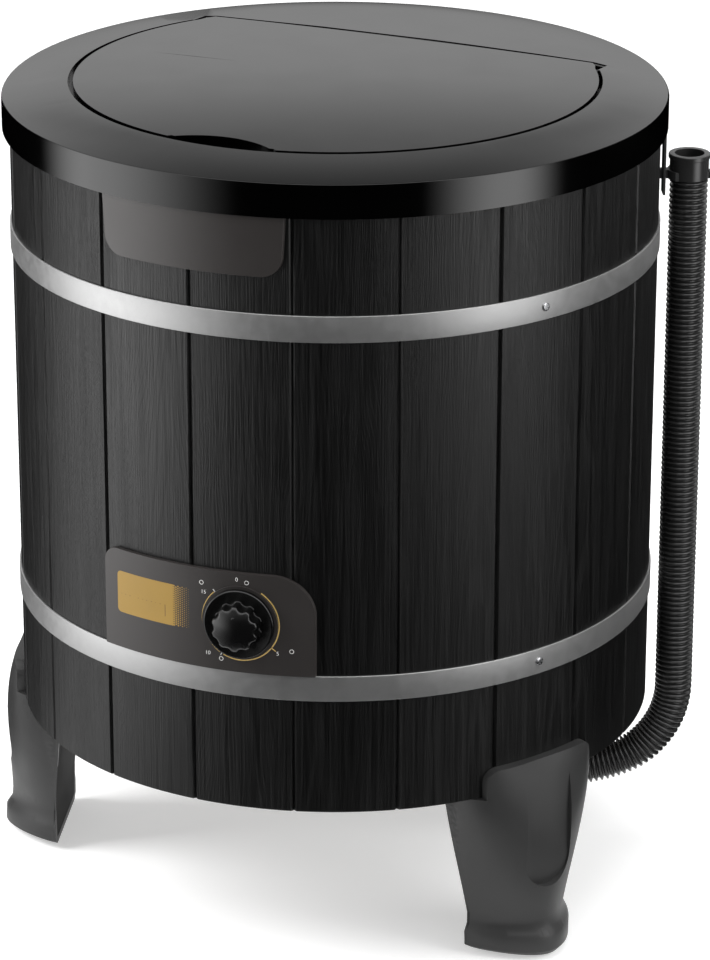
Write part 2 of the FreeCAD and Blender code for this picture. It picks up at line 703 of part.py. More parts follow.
def lid():
    """Shallow crowned shell with a skirt, stiffening ribs, a hinge knuckle and a finger notch."""
    full = crowned_solid(LID_RADIUS, RIM_BOTTOM, 0)
    shell = full.cut(crowned_solid(LID_RADIUS, RIM_BOTTOM, LID_THICKNESS))
    skirt_bottom = LEDGE_TOP + LID_SEAT_GAP
    trough_front = HINGE_LINE - HINGE_TROUGH_DEPTH - LID_SEAM_GAP
    skirt = ring(LID_RADIUS, LID_RADIUS - LID_SKIRT_WALL, skirt_bottom, CROWN_TOP)
    scoop = finger_cut(FINGER_RADIUS + FINGER_WALL).cut(finger_cut(FINGER_RADIUS))
    scoop = scoop.common(cylinder(LID_RADIUS, skirt_bottom, CROWN_TOP))
    ahead = block(-RIM_RADIUS, RIM_RADIUS, -RIM_RADIUS, trough_front, RIM_BOTTOM, CROWN_TOP)
    edge = skirt.fuse(scoop).common(ahead)
    rib_bottom = crown_height(LID_RADIUS) - LID_THICKNESS - LID_RIB_DEPTH
    half_rib = LID_RIB_WALL / 2
    ribs = []
    for i in (-1, 0, 1):
        x = i * LID_RIB_SPACING
        ribs.append(block(x - half_rib, x + half_rib, -RIM_RADIUS, HINGE_Y, rib_bottom, CROWN_TOP))
        y = (i - 1) * LID_RIB_SPACING + half_rib
        ribs.append(block(-RIM_RADIUS, RIM_RADIUS, y - half_rib, y + half_rib, rib_bottom, CROWN_TOP))
    ribs = ribs[0].fuse(ribs[1:]).common(cylinder(LID_RADIUS - LID_SKIRT_WALL / 2, rib_bottom, CROWN_TOP))
    half_knuckle = math.sqrt(LID_RADIUS**2 - (HINGE_Y + KNUCKLE_RADIUS) ** 2) - KNUCKLE_END_GAP
    knuckle = hinge_cylinder(KNUCKLE_RADIUS, half_knuckle)
    web = block(
        -half_knuckle,
        half_knuckle,
        HINGE_Y - KNUCKLE_RADIUS,
        HINGE_Y + KNUCKLE_RADIUS,
        HINGE_Z,
        CROWN_TOP,
    )
    solid = shell.fuse([edge, ribs, knuckle, web]).common(full)
    swept = hinge_cylinder(HINGE_SWEEP, RIM_RADIUS)
    kept = block(-RIM_RADIUS, RIM_RADIUS, -RIM_RADIUS, HINGE_Y, RIM_BOTTOM, CROWN_TOP + OVERRUN).fuse(swept)
    bore = hinge_cylinder(HINGE_ROD_RADIUS + HINGE_ROD_FIT, RIM_RADIUS)
    return solid.common(kept).cut([finger_cut(FINGER_RADIUS), bore]).removeSplitter()


def lid_hinge_rod():
    return hinge_cylinder(HINGE_ROD_RADIUS, NOTCH_REACH + HINGE_EAR_LENGTH)


# Plates on the outside


def plate_on_barrel(points, radii, angle):
    """A moulded plate: an outline pushed in towards the axis, curved in front, seated on the staves."""
    face = Part.Face(outline(points, radii, lambda x, z: V(x, -BARREL_RADIUS + THROUGH, z)))
    blank = turned(face.extrude(V(0, -2 * THROUGH, 0)), angle)
    low = min(z for _, z in points)
    high = max(z for _, z in points)
    front = through_hole(PLATE_FACE_RADIUS, low, high)
    return blank.common(front).cut(barrel_space(low - 2 * OVERRUN, high + 2 * OVERRUN))


def badge_plate():
    """Bare plate hanging from under the rim, over two staves."""
    top = RIM_BOTTOM - PLATE_TOP_GAP
    bottom = top - BADGE_HEIGHT
    foot = BADGE_HALF_WIDTH - BADGE_TAPER
    points = [(-BADGE_HALF_WIDTH, top), (-foot, bottom), (foot, bottom), (BADGE_HALF_WIDTH, top)]
    return plate_on_barrel(points, [0, BADGE_CORNER, BADGE_CORNER, 0], 0)


def control_panel():
    """Plate standing on the lower hoop, with a flat pad behind the timer's knob."""
    middle = (PANEL_LEFT_ANGLE + PANEL_RIGHT_ANGLE) / 2
    half = PLATE_FACE_RADIUS * math.sin(math.radians((PANEL_RIGHT_ANGLE - PANEL_LEFT_ANGLE) / 2))
    bottom = LOWER_HOOP_MIDDLE + HOOP_WIDTH / 2 + PANEL_HOOP_GAP
    points = [(-half, bottom), (half, bottom), (half, PANEL_TOP), (-half, PANEL_TOP)]
    plate = plate_on_barrel(points, [0, 0, PANEL_RIGHT_CORNER, PANEL_LEFT_CORNER], middle)
    pad = Part.makeCylinder(PANEL_PAD_RADIUS, PANEL_PAD_REACH - STAVE_INSIDE)
    pad = facing_out(pad, TIMER_ANGLE, STAVE_INSIDE, TIMER_HEIGHT)
    low = TIMER_HEIGHT - PANEL_PAD_RADIUS - OVERRUN
    pad = pad.cut(barrel_space(low, TIMER_HEIGHT + PANEL_PAD_RADIUS + OVERRUN))
    return plate.fuse(pad).cut(radial_hole(TIMER_SHAFT_HOLE, TIMER_ANGLE, TIMER_HEIGHT)).removeSplitter()


# Timer

KNOB_BACK = PANEL_PAD_REACH + KNOB_GAP


def timer_knob():
    """Dished skirt with a scalloped, domed grip, a dot marker and a socket for the shaft."""
    skirt = revolved(
        [
            (0, 0),
            (KNOB_RADIUS, 0),
            (KNOB_RADIUS, KNOB_SKIRT_HEIGHT),
            (KNOB_GRIP_RADIUS, KNOB_DISH_HEIGHT),
            (0, KNOB_DISH_HEIGHT),
        ],
        {2: KNOB_SKIRT_ROUND},
    )
    grip = revolved(
        [(0, 0), (KNOB_GRIP_RADIUS, 0), (KNOB_GRIP_RADIUS, KNOB_GRIP_HEIGHT), (0, KNOB_GRIP_HEIGHT)],
        {2: KNOB_GRIP_ROUND},
    )
    scallops = []
    for i in range(KNOB_SCALLOPS):
        turn = math.radians(360.0 / KNOB_SCALLOPS * (i + 0.5))
        x = KNOB_SCALLOP_REACH * math.sin(turn)
        y = KNOB_SCALLOP_REACH * math.cos(turn)
        scallops.append(cylinder(KNOB_SCALLOP_RADIUS, KNOB_DISH_HEIGHT, KNOB_GRIP_HEIGHT + OVERRUN, x, y))
    dot_floor = KNOB_GRIP_HEIGHT - KNOB_DOT_DEPTH
    dot = cylinder(KNOB_DOT_RADIUS, dot_floor, KNOB_GRIP_HEIGHT + OVERRUN, 0, KNOB_DOT_REACH)
    socket = cylinder(TIMER_SHAFT_RADIUS + SHAFT_SEAT_FIT, -OVERRUN, KNOB_SEAT_DEPTH + SHAFT_SEAT_FIT)
    knob = skirt.fuse(grip.cut(scallops)).cut([dot, socket])
    return facing_out(knob, TIMER_ANGLE, KNOB_BACK, TIMER_HEIGHT)


def timer_shaft():
    start = STAVE_INSIDE - TIMER_SHAFT_DEPTH
    shaft = Part.makeCylinder(TIMER_SHAFT_RADIUS, KNOB_BACK + KNOB_SEAT_DEPTH - start)
    return facing_out(shaft, TIMER_ANGLE, start, TIMER_HEIGHT)


def timer_body():
    """Clockwork case flat against the inside of its stave, with a gear case behind it."""
    half = TIMER_WIDTH / 2
    square = [(-half, -half), (half, -half), (half, half), (-half, half)]
    case = Part.Face(outline(square, [TIMER_CORNER] * 4, lambda x, y: V(x, y, 0)))
    case = case.extrude(V(0, 0, TIMER_DEPTH))
    gears = Part.makeCylinder(TIMER_GEARBOX_RADIUS, TIMER_GEARBOX_DEPTH, V(0, 0, -TIMER_GEARBOX_DEPTH))
    bore_end = TIMER_DEPTH - TIMER_SHAFT_DEPTH - TIMER_SHAFT_FIT
    bore = cylinder(TIMER_SHAFT_RADIUS + TIMER_SHAFT_FIT, bore_end, TIMER_DEPTH + OVERRUN)
    return facing_out(case.fuse(gears).cut(bore), TIMER_ANGLE, STAVE_INSIDE - TIMER_DEPTH, TIMER_HEIGHT)


# Wash tub and agitator

BRACKET_TOP = BASE_TOP + BRACKET_HEIGHT
MOTOR_TOP = BRACKET_TOP + MOTOR_HEIGHT
NOSE_TOP = MOTOR_TOP + MOTOR_NOSE_HEIGHT
PULLEY_BOTTOM = NOSE_TOP + PULLEY_CLEARANCE
PULLEY_TOP = PULLEY_BOTTOM + PULLEY_WIDTH
PULLEY_MIDDLE = (PULLEY_TOP + PULLEY_BOTTOM) / 2
SHAFT_BOTTOM = PULLEY_BOTTOM - PULLEY_NUT_HEIGHT - SHAFT_END
HOUSING_BOTTOM = PULLEY_TOP + PULLEY_DROP
TUB_BOTTOM = HOUSING_BOTTOM + HOUSING_LENGTH
TUB_FLOOR = TUB_BOTTOM + TUB_WALL
BOSS_TOP = TUB_FLOOR + TUB_BOSS_HEIGHT
HUB_BOTTOM = BOSS_TOP + AGITATOR_FLOOR_GAP
HUB_TOP = HUB_BOTTOM + AGITATOR_HUB_HEIGHT


def wash_tub():
    """Tapered tub with a hanging flange, a rounded floor, a shaft boss and a drain spout."""
    inner_mouth = TUB_MOUTH_RADIUS - TUB_WALL
    inner_floor = TUB_FLOOR_RADIUS - TUB_WALL
    tub = revolved(
        [
            (0, TUB_BOTTOM),
            (TUB_FLOOR_RADIUS, TUB_BOTTOM),
            (TUB_MOUTH_RADIUS, STAVE_TOP),
            (TUB_FLANGE_RADIUS, STAVE_TOP),
            (TUB_FLANGE_RADIUS, TUB_FLANGE_TOP),
            (inner_mouth, TUB_FLANGE_TOP),
            (inner_floor, TUB_FLOOR),
            (TUB_BOSS_RADIUS, TUB_FLOOR),
            (TUB_BOSS_RADIUS, BOSS_TOP),
            (0, BOSS_TOP),
        ],
        {1: TUB_CORNER, 6: TUB_CORNER - TUB_WALL, 8: TUB_WALL},
    )
    spout_bottom = TUB_BOTTOM - SPOUT_LENGTH
    spout = turned(cylinder(SPOUT_RADIUS, spout_bottom, TUB_FLOOR, 0, -DRAIN_REACH), HOSE_ANGLE)
    socket_top = spout_bottom + SPOUT_SOCKET
    socket = cylinder(DRAIN_RADIUS + SPOUT_FIT, spout_bottom - OVERRUN, socket_top, 0, -DRAIN_REACH)
    drain = through_hole(DRAIN_RADIUS - DRAIN_WALL, spout_bottom, TUB_FLOOR, 0, -DRAIN_REACH)
    shaft = through_hole(SHAFT_RADIUS + SEAL_LIP_FIT, TUB_BOTTOM, BOSS_TOP)
    seal = cylinder(SEAL_RADIUS + SHAFT_SEAT_FIT, BOSS_TOP - SEAL_HEIGHT, BOSS_TOP + OVERRUN)
    return tub.fuse(spout).cut([turned(socket, HOSE_ANGLE), turned(drain, HOSE_ANGLE), shaft, seal])


def shaft_seal():
    """Lip seal in the tub's boss."""
    inner = SHAFT_RADIUS + SEAL_LIP_FIT
    low = BOSS_TOP - SEAL_HEIGHT
    return revolved(
        [
            (inner, low),
            (SEAL_RADIUS, low),
            (SEAL_RADIUS, BOSS_TOP),
            (SEAL_RADIUS - SEAL_RING_WALL, BOSS_TOP),
            (SEAL_RADIUS - SEAL_RING_WALL - SEAL_LIP_TAPER, BOSS_TOP - SEAL_LIP_HEIGHT),
            (inner + SEAL_LIP_WALL, BOSS_TOP - SEAL_LIP_HEIGHT),
            (inner + SEAL_LIP_WALL - SEAL_LIP_TAPER, BOSS_TOP),
            (inner, BOSS_TOP),
        ]
    )


def bearing_housing():
    """Flanged and ribbed tube under the tub that carries the shaft's two bushes."""
    flange_bottom = TUB_BOTTOM - HOUSING_FLANGE_THICKNESS
    housing = cylinder(HOUSING_FLANGE_RADIUS, flange_bottom, TUB_BOTTOM)
    housing = housing.fuse(cylinder(HOUSING_RADIUS, HOUSING_BOTTOM, TUB_BOTTOM))
    rib = [
        (0, flange_bottom),
        (HOUSING_FLANGE_RADIUS - HOUSING_RIB_INSET, flange_bottom),
        (HOUSING_RADIUS, HOUSING_BOTTOM + HOUSING_RIB_RISE),
        (0, HOUSING_BOTTOM + HOUSING_RIB_RISE),
    ]
    half_wall = HOUSING_RIB_WALL / 2
    corners = [V(-half_wall, -reach, z) for reach, z in rib]
    web = Part.Face(Part.makePolygon(corners + corners[:1])).extrude(V(HOUSING_RIB_WALL, 0, 0))
    webs = [turned(web, 360.0 / HOUSING_RIBS * i) for i in range(HOUSING_RIBS)]
    bore = through_hole(BUSH_RADIUS + SHAFT_SEAT_FIT, HOUSING_BOTTOM, TUB_BOTTOM)
    return housing.fuse(webs).cut(bore).removeSplitter()


def shaft_bushes():
    inner = SHAFT_RADIUS + SHAFT_RUNNING_FIT
    lower = ring(BUSH_RADIUS, inner, HOUSING_BOTTOM, HOUSING_BOTTOM + BUSH_LENGTH)
    upper = ring(BUSH_RADIUS, inner, TUB_BOTTOM - BUSH_LENGTH, TUB_BOTTOM)
    return Part.makeCompound([lower, upper])


def agitator_shaft():
    return cylinder(SHAFT_RADIUS, SHAFT_BOTTOM, HUB_TOP - CAP_HEIGHT)


def agitator():
    """Low cone with a tall hub and upright vanes."""
    edge = HUB_BOTTOM + AGITATOR_EDGE_HEIGHT
    cone = HUB_BOTTOM + AGITATOR_CONE_HEIGHT
    body = revolved(
        [
            (0, HUB_BOTTOM),
            (AGITATOR_RADIUS, HUB_BOTTOM),
            (AGITATOR_RADIUS, edge),
            (AGITATOR_HUB_RADIUS, cone),
            (AGITATOR_HUB_RADIUS, HUB_TOP),
            (0, HUB_TOP),
        ],
        {2: AGITATOR_EDGE_ROUND, 3: AGITATOR_HUB_FILLET, 4: AGITATOR_HUB_ROUND},
    )
    vane_bottom = HUB_BOTTOM + AGITATOR_EDGE_HEIGHT / 2
    vane = [
        (0, vane_bottom),
        (AGITATOR_VANE_REACH, vane_bottom),
        (AGITATOR_VANE_REACH, HUB_BOTTOM + AGITATOR_VANE_TIP_HEIGHT),
        (AGITATOR_HUB_RADIUS, HUB_BOTTOM + AGITATOR_VANE_HEIGHT),
        (0, HUB_BOTTOM + AGITATOR_VANE_HEIGHT),
    ]
    half = AGITATOR_VANE_WIDTH / 2
    wire = outline(vane, [0, 0, AGITATOR_VANE_ROUND, 0, 0], lambda reach, z: V(-half, -reach, z))
    blade = Part.Face(wire).extrude(V(AGITATOR_VANE_WIDTH, 0, 0))
    blades = [turned(blade, 360.0 / AGITATOR_VANES * i) for i in range(AGITATOR_VANES)]
    bore = through_hole(SHAFT_RADIUS + SHAFT_SEAT_FIT, HUB_BOTTOM, HUB_TOP)
    recess = cylinder(CAP_RADIUS + SHAFT_SEAT_FIT, HUB_TOP - CAP_HEIGHT, HUB_TOP + OVERRUN)
    return body.fuse(blades).cut([bore, recess]).removeSplitter()


def agitator_cap():
    low = HUB_TOP - CAP_HEIGHT
    return revolved(
        [(0, low), (CAP_RADIUS, low), (CAP_RADIUS, HUB_TOP), (0, HUB_TOP + CAP_CROWN)],
        {2: CAP_ROUND},
    )


# Belt drive


def belt_bottom_half_width(grow):
    """Half the belt's width at its inner edge, grown sideways for the pulley's groove."""
    lean = math.tan(math.radians(BELT_SIDE_ANGLE))
    return BELT_TOP_WIDTH / 2 - BELT_HEIGHT * lean + grow / math.cos(math.radians(BELT_SIDE_ANGLE))


def grooved(radius, width, middle, bore):
    """A rim with a V groove for the belt, turned about the origin's axis."""
    lean = math.tan(math.radians(BELT_SIDE_ANGLE))
    floor = radius - BELT_SINK - BELT_HEIGHT - BELT_CLEARANCE
    narrow = belt_bottom_half_width(BELT_CLEARANCE) - BELT_CLEARANCE * lean
    wide = narrow + (radius - floor) * lean
    return revolved(
        [
            (bore, middle - width / 2),
            (radius, middle - width / 2),
            (radius, middle - wide),
            (floor, middle - narrow),
            (floor, middle + narrow),
            (radius, middle + wide),
            (radius, middle + width / 2),
            (bore, middle + width / 2),
        ]
    )


def driven_pulley():
    """Large pulley with a thin web, lightening holes and a hub on the shaft."""
    bore = SHAFT_RADIUS + SHAFT_SEAT_FIT
    rim = grooved(PULLEY_RADIUS, PULLEY_WIDTH, PULLEY_MIDDLE, PULLEY_RIM_INSIDE)
    half_web = PULLEY_WEB / 2
    web = ring(PULLEY_RIM_INSIDE + OVERRUN, bore, PULLEY_MIDDLE - half_web, PULLEY_MIDDLE + half_web)
    hub = ring(PULLEY_HUB_RADIUS, bore, PULLEY_BOTTOM, PULLEY_TOP)
    holes = []
    for i in range(PULLEY_HOLES):
        hole = cylinder(PULLEY_HOLE_RADIUS, PULLEY_BOTTOM, PULLEY_TOP, 0, -PULLEY_HOLE_REACH)
        holes.append(turned(hole, 360.0 / PULLEY_HOLES * i))
    return rim.fuse([web.cut(holes), hub]).removeSplitter()


def pulley_nut():
    """Hexagon nut under the driven pulley."""
    top = PULLEY_BOTTOM
    corners = []
    for i in range(PULLEY_NUT_SIDES + 1):
        turn = math.radians(360.0 / PULLEY_NUT_SIDES * i)
        corners.append(V(PULLEY_NUT_RADIUS * math.cos(turn), PULLEY_NUT_RADIUS * math.sin(turn), top))
    nut = Part.Face(Part.makePolygon(corners)).extrude(V(0, 0, -PULLEY_NUT_HEIGHT))
    return nut.cut(through_hole(SHAFT_RADIUS + SHAFT_SEAT_FIT, top - PULLEY_NUT_HEIGHT, top))


def motor_pulley():
    bore = MOTOR_SHAFT_RADIUS + SHAFT_SEAT_FIT
    wheel = grooved(MOTOR_PULLEY_RADIUS, MOTOR_PULLEY_WIDTH, PULLEY_MIDDLE, bore)
    return wheel.translated(V(0, MOTOR_REACH, 0))


def v_belt():
    """Wedge-section belt on two arcs and the straight runs that join them."""
    big = PULLEY_RADIUS - BELT_SINK - BELT_HEIGHT
    small = MOTOR_PULLEY_RADIUS - BELT_SINK - BELT_HEIGHT
    lean = math.asin((big - small) / MOTOR_REACH)
    normal = (math.cos(lean), math.sin(lean))
    z = PULLEY_MIDDLE
    big_right = V(big * normal[0], big * normal[1], z)
    small_right = V(small * normal[0], MOTOR_REACH + small * normal[1], z)
    big_left = V(-big_right.x, big_right.y, z)
    small_left = V(-small_right.x, small_right.y, z)
    path = Part.Wire(
        [
            Part.Arc(big_left, V(0, -big, z), big_right).toShape(),
            Part.LineSegment(big_right, small_right).toShape(),
            Part.Arc(small_right, V(0, MOTOR_REACH + small, z), small_left).toShape(),
            Part.LineSegment(small_left, big_left).toShape(),
        ]
    )
    narrow = belt_bottom_half_width(0)
    wide = BELT_TOP_WIDTH / 2
    out = V(-normal[0], normal[1], 0)
    corners = []
    for reach, half in ((0, -narrow), (BELT_HEIGHT, -wide), (BELT_HEIGHT, wide), (0, narrow)):
        corners.append(big_left + out * reach + V(0, 0, half))
    section = Part.makePolygon(corners + corners[:1])
    return path.makePipeShell([section], True, False)


# Motor


def motor_body():
    """Stator between two vented end shields, with the shaft's nose on top."""
    low = BRACKET_TOP
    shield = MOTOR_SHIELD_HEIGHT
    body = revolved(
        [
            (0, low),
            (MOTOR_SHIELD_RADIUS, low),
            (MOTOR_SHIELD_RADIUS, low + shield),
            (MOTOR_RADIUS, low + shield),
            (MOTOR_RADIUS, MOTOR_TOP - shield),
            (MOTOR_SHIELD_RADIUS, MOTOR_TOP - shield),
            (MOTOR_SHIELD_RADIUS, MOTOR_TOP),
            (MOTOR_NOSE_RADIUS, MOTOR_TOP),
            (MOTOR_NOSE_RADIUS, NOSE_TOP),
            (0, NOSE_TOP),
        ],
        {6: MOTOR_SHIELD_ROUND},
    )
    cuts = []
    for i in range(MOTOR_VENTS):
        half = MOTOR_VENT_WIDTH / 2
        for z in (low + shield / 2, MOTOR_TOP - shield / 2):
            vent = block(
                -half,
                half,
                -MOTOR_SHIELD_RADIUS - OVERRUN,
                -MOTOR_SHIELD_RADIUS + MOTOR_VENT_DEPTH,
                z - MOTOR_VENT_HEIGHT / 2,
                z + MOTOR_VENT_HEIGHT / 2,
            )
            cuts.append(turned(vent, 360.0 / MOTOR_VENTS * (i + 0.5)))
    for x, y in bolt_spots():
        bolt_top = low + shield / 2 + SHAFT_SEAT_FIT
        cuts.append(cylinder(MOTOR_BOLT_RADIUS + SHAFT_SEAT_FIT, low - OVERRUN, bolt_top, x, y))
    bore = MOTOR_SHAFT_RADIUS + SHAFT_RUNNING_FIT
    cuts.append(cylinder(bore, MOTOR_TOP - MOTOR_SHAFT_DEPTH - SHAFT_RUNNING_FIT, NOSE_TOP + OVERRUN))
    return body.cut(cuts).translated(V(0, MOTOR_REACH, 0))


def bolt_spots():
    turns = [math.radians(360.0 / MOTOR_BOLTS * (i + 0.5)) for i in range(MOTOR_BOLTS)]
    return [(MOTOR_BOLT_REACH * math.cos(t), MOTOR_BOLT_REACH * math.sin(t)) for t in turns]


def motor_shaft():
    low = MOTOR_TOP - MOTOR_SHAFT_DEPTH
    return cylinder(MOTOR_SHAFT_RADIUS, low, PULLEY_TOP + MOTOR_SHAFT_RISE, 0, MOTOR_REACH)


def motor_bracket():
    """Folded steel tray: a raised plate under the motor, two side walls and two feet on the board."""
    wide = BRACKET_HALF_WIDTH
    foot = wide + BRACKET_FOOT
    thick = BRACKET_THICKNESS
    section = [
        (-foot, BASE_TOP),
        (-wide + thick, BASE_TOP),
        (-wide + thick, BRACKET_TOP - thick),
        (wide - thick, BRACKET_TOP - thick),
        (wide - thick, BASE_TOP),
        (foot, BASE_TOP),
        (foot, BASE_TOP + thick),
        (wide, BASE_TOP + thick),
        (wide, BRACKET_TOP),
        (-wide, BRACKET_TOP),
        (-wide, BASE_TOP + thick),
        (-foot, BASE_TOP + thick),
    ]
    corners = [V(x, -wide, z) for x, z in section]
    tray = Part.Face(Part.makePolygon(corners + corners[:1])).extrude(V(0, 2 * wide, 0))
    holes = [
        through_hole(MOTOR_BOLT_RADIUS + SHAFT_SEAT_FIT, BRACKET_TOP - thick, BRACKET_TOP, x, y)
        for x, y in bolt_spots()
    ]
    return tray.cut(holes).translated(V(0, MOTOR_REACH, 0))


def motor_bolts():
    """Four bolts from under the bracket into the motor's lower shield."""
    head_top = BRACKET_TOP - BRACKET_THICKNESS
    bolts = []
    for x, y in bolt_spots():
        head = cylinder(MOTOR_BOLT_HEAD_RADIUS, head_top - MOTOR_BOLT_HEAD_HEIGHT, head_top, x, y)
        shank = cylinder(MOTOR_BOLT_RADIUS, head_top, BRACKET_TOP + MOTOR_SHIELD_HEIGHT / 2, x, y)
        bolts.append(head.fuse(shank).translated(V(0, MOTOR_REACH, 0)))
    return Part.makeCompound(bolts)


def capacitor():
    top = BASE_TOP + CAPACITOR_HEIGHT
    can = revolved(
        [(0, BASE_TOP), (CAPACITOR_RADIUS, BASE_TOP), (CAPACITOR_RADIUS, top), (0, top)],
        {1: CAPACITOR_ROUND, 2: CAPACITOR_ROUND},
    )
    half_width = CAPACITOR_TAB_WIDTH / 2
    half_wall = CAPACITOR_TAB_WALL / 2
    tab_top = top + CAPACITOR_TAB_HEIGHT
    tabs = []
    for x in (-CAPACITOR_TAB_SPREAD, CAPACITOR_TAB_SPREAD):
        tabs.append(block(x - half_width, x + half_width, -half_wall, half_wall, top - OVERRUN, tab_top))
    return turned(can.fuse(tabs).translated(V(0, -CAPACITOR_REACH, 0)), CAPACITOR_ANGLE)


def capacitor_clip():
    """Spring clip round the capacitor, on a foot on the base board."""
    inner = CAPACITOR_RADIUS + CLIP_GAP
    outer = inner + CLIP_WALL
    band = ring(outer, inner, BASE_TOP, BASE_TOP + CLIP_HEIGHT)
    top = BASE_TOP + CLIP_HEIGHT
    mouth = block(-inner / 2, inner / 2, 0, outer + OVERRUN, BASE_TOP - OVERRUN, top + OVERRUN)
    half = CLIP_FOOT_WIDTH / 2
    foot = block(-half, half, -outer - CLIP_FOOT_LENGTH, -inner + OVERRUN, BASE_TOP, BASE_TOP + CLIP_WALL)
    clip = band.cut(mouth).fuse(foot).cut(through_hole(inner, BASE_TOP, top))
    return turned(clip.translated(V(0, -CAPACITOR_REACH, 0)), CAPACITOR_ANGLE)


# Legs


def leg_rows(shape):
    """A leg's sections with each edge's reach from the axis."""
    rows = []
    for height, inner, root, shoulder, bend, outer in shape:
        reaches = [BARREL_RADIUS + edge for edge in (inner, bend, outer)]
        rows.append((height, reaches[0], root, shoulder, reaches[1], reaches[2]))
    return rows


LEG_SHANK = leg_rows(LEG_SHANK_SHAPE)
LEG_COLLAR = leg_rows(LEG_COLLAR_SHAPE)
SOLE_TOP = LEG_COLLAR[-1][0] + LEG_SOLE
SHELF_BOTTOM = STAVE_BOTTOM - LEG_SHELF


def leg_section(height, inner, root, shoulder, bend, outer, back=0):
    """A leg's outline at a height: a curve from root to root round the front, drawn back and closed."""
    places = [(-root, inner), (-shoulder, bend), (0, outer), (shoulder, bend), (root, inner)]
    points = [V(x, -reach, height) for x, reach in places]
    curve = Part.BSplineCurve()
    curve.interpolate(points)
    ends = [points[-1], points[0]]
    if back > 0:
        step = V(0, back, 0)
        ends = [points[-1], points[-1] + step, points[0] + step, points[0]]
    return Part.Wire([curve.toShape(), *Part.makePolygon(ends).Edges])


def leg_size_at(height):
    """The shank's section at a height, along straight lines between its sections."""
    for upper, lower in zip(LEG_SHANK, LEG_SHANK[1:]):
        if height >= lower[0]:
            share = (height - lower[0]) / (upper[0] - lower[0])
            return [low + share * (high - low) for low, high in zip(lower[1:], upper[1:])]
    return LEG_SHANK[-1][1:]


def leg_cavity():
    """Tool for the hollow behind the face and the side walls, open towards the axis."""
    sections = []
    for height in (SOLE_TOP, LEG_SHANK[2][0], SHELF_BOTTOM):
        inner, root, shoulder, bend, outer = leg_size_at(height)
        walls = [size - LEG_SIDE_WALL for size in (root, shoulder, bend)]
        sections.append(leg_section(height, inner, *walls, outer - LEG_FRONT_WALL, THROUGH))
    return Part.makeLoft(sections, True, True)


def leg_outline():
    """Tool that trims the part of a leg beside the staves to a plate with rounded upper corners."""
    wide = LEG_SHANK[0][2] + OVERRUN
    half = LEG_PLATE_HALF_WIDTH
    points = [
        (-wide, 0),
        (wide, 0),
        (wide, STAVE_BOTTOM),
        (half, STAVE_BOTTOM),
        (half, LEG_PLATE_TOP),
        (-half, LEG_PLATE_TOP),
        (-half, STAVE_BOTTOM),
        (-wide, STAVE_BOTTOM),
    ]
    rounds = [0, 0, 0, 0, LEG_PLATE_CORNER, LEG_PLATE_CORNER, 0, 0]
    reach = LEG_SHANK[-1][-1] + THROUGH
    return Part.Face(outline(points, rounds, lambda x, z: V(x, -reach, z))).extrude(V(0, reach, 0))


def leg_pocket():
    """Tool for the U-shaped pocket: upright and flat, so that the leaning face runs out of it at the top."""
    half = LEG_POCKET_HALF_WIDTH
    points = [
        (-half, LEG_POCKET_BOTTOM),
        (half, LEG_POCKET_BOTTOM),
        (half, LEG_POCKET_TOP),
        (-half, LEG_POCKET_TOP),
    ]
    rounds = [LEG_POCKET_ROUND, LEG_POCKET_ROUND, 0, 0]
    floor = Part.Face(outline(points, rounds, lambda x, z: V(x, -LEG_POCKET_REACH, z)))
    return floor.extrude(V(0, -THROUGH, 0))


def leg_screw_spots():
    return [(side * LEG_BOSS_SPREAD, -LEG_BOSS_REACH) for side in (-1, 1)]


def leg(angle):
    """Hollow moulded leg: a shank with a flared foot, a shelf under the staves, a saddle plate outside them,
    two bosses under the base board and a pocket in its face."""
    shank = Part.makeLoft([leg_section(*row) for row in LEG_SHANK], True, False)
    collar = Part.makeLoft([leg_section(*row) for row in LEG_COLLAR], True, True)
    barrel = barrel_space(STAVE_BOTTOM, LEG_SHANK[0][0] + OVERRUN)
    made = shank.fuse(collar).common(leg_outline()).cut([leg_cavity(), leg_pocket(), barrel])
    holes = [cylinder(PAD_STEM_RADIUS + PAD_FIT, 0, SOLE_TOP + OVERRUN, 0, -PAD_REACH)]
    for x, y in leg_screw_spots():
        made = made.fuse(cylinder(LEG_BOSS_RADIUS, SHELF_BOTTOM, BASE_BOTTOM, x, y))
        hole = LEG_SCREW_RADIUS + SCREW_CLEARANCE
        holes.append(through_hole(hole, SHELF_BOTTOM, BASE_BOTTOM, x, y))
    return turned(made.cut(holes), angle)


def leg_screws():
    """Two screws from each leg's shelf up into the base board."""
    screws = []
    for angle in LEG_ANGLES.values():
        for x, y in leg_screw_spots():
            shank = cylinder(LEG_SCREW_RADIUS, SHELF_BOTTOM, BASE_BOTTOM + LEG_SCREW_GRIP, x, y)
            head = cylinder(LEG_SCREW_HEAD_RADIUS, SHELF_BOTTOM - LEG_SCREW_HEAD_HEIGHT, SHELF_BOTTOM, x, y)
            screws.append(turned(shank.fuse(head), angle))
    return Part.makeCompound(screws)


def foot_pads():
    """Three rubber feet, each a disc with a stem pushed into a leg's sole."""
    sole = LEG_COLLAR[-1][0]
    top = sole + LEG_SOLE
    stem = PAD_STEM_RADIUS
    pad = revolved([(0, 0), (PAD_RADIUS, 0), (PAD_RADIUS, sole), (stem, sole), (stem, top), (0, top)])
    pad = pad.translated(V(0, -PAD_REACH, 0))
    return Part.makeCompound([turned(pad, angle) for angle in LEG_ANGLES.values()])


# Drain

CUFF_BODY_RADIUS = CUFF_RADIUS - CUFF_LIP


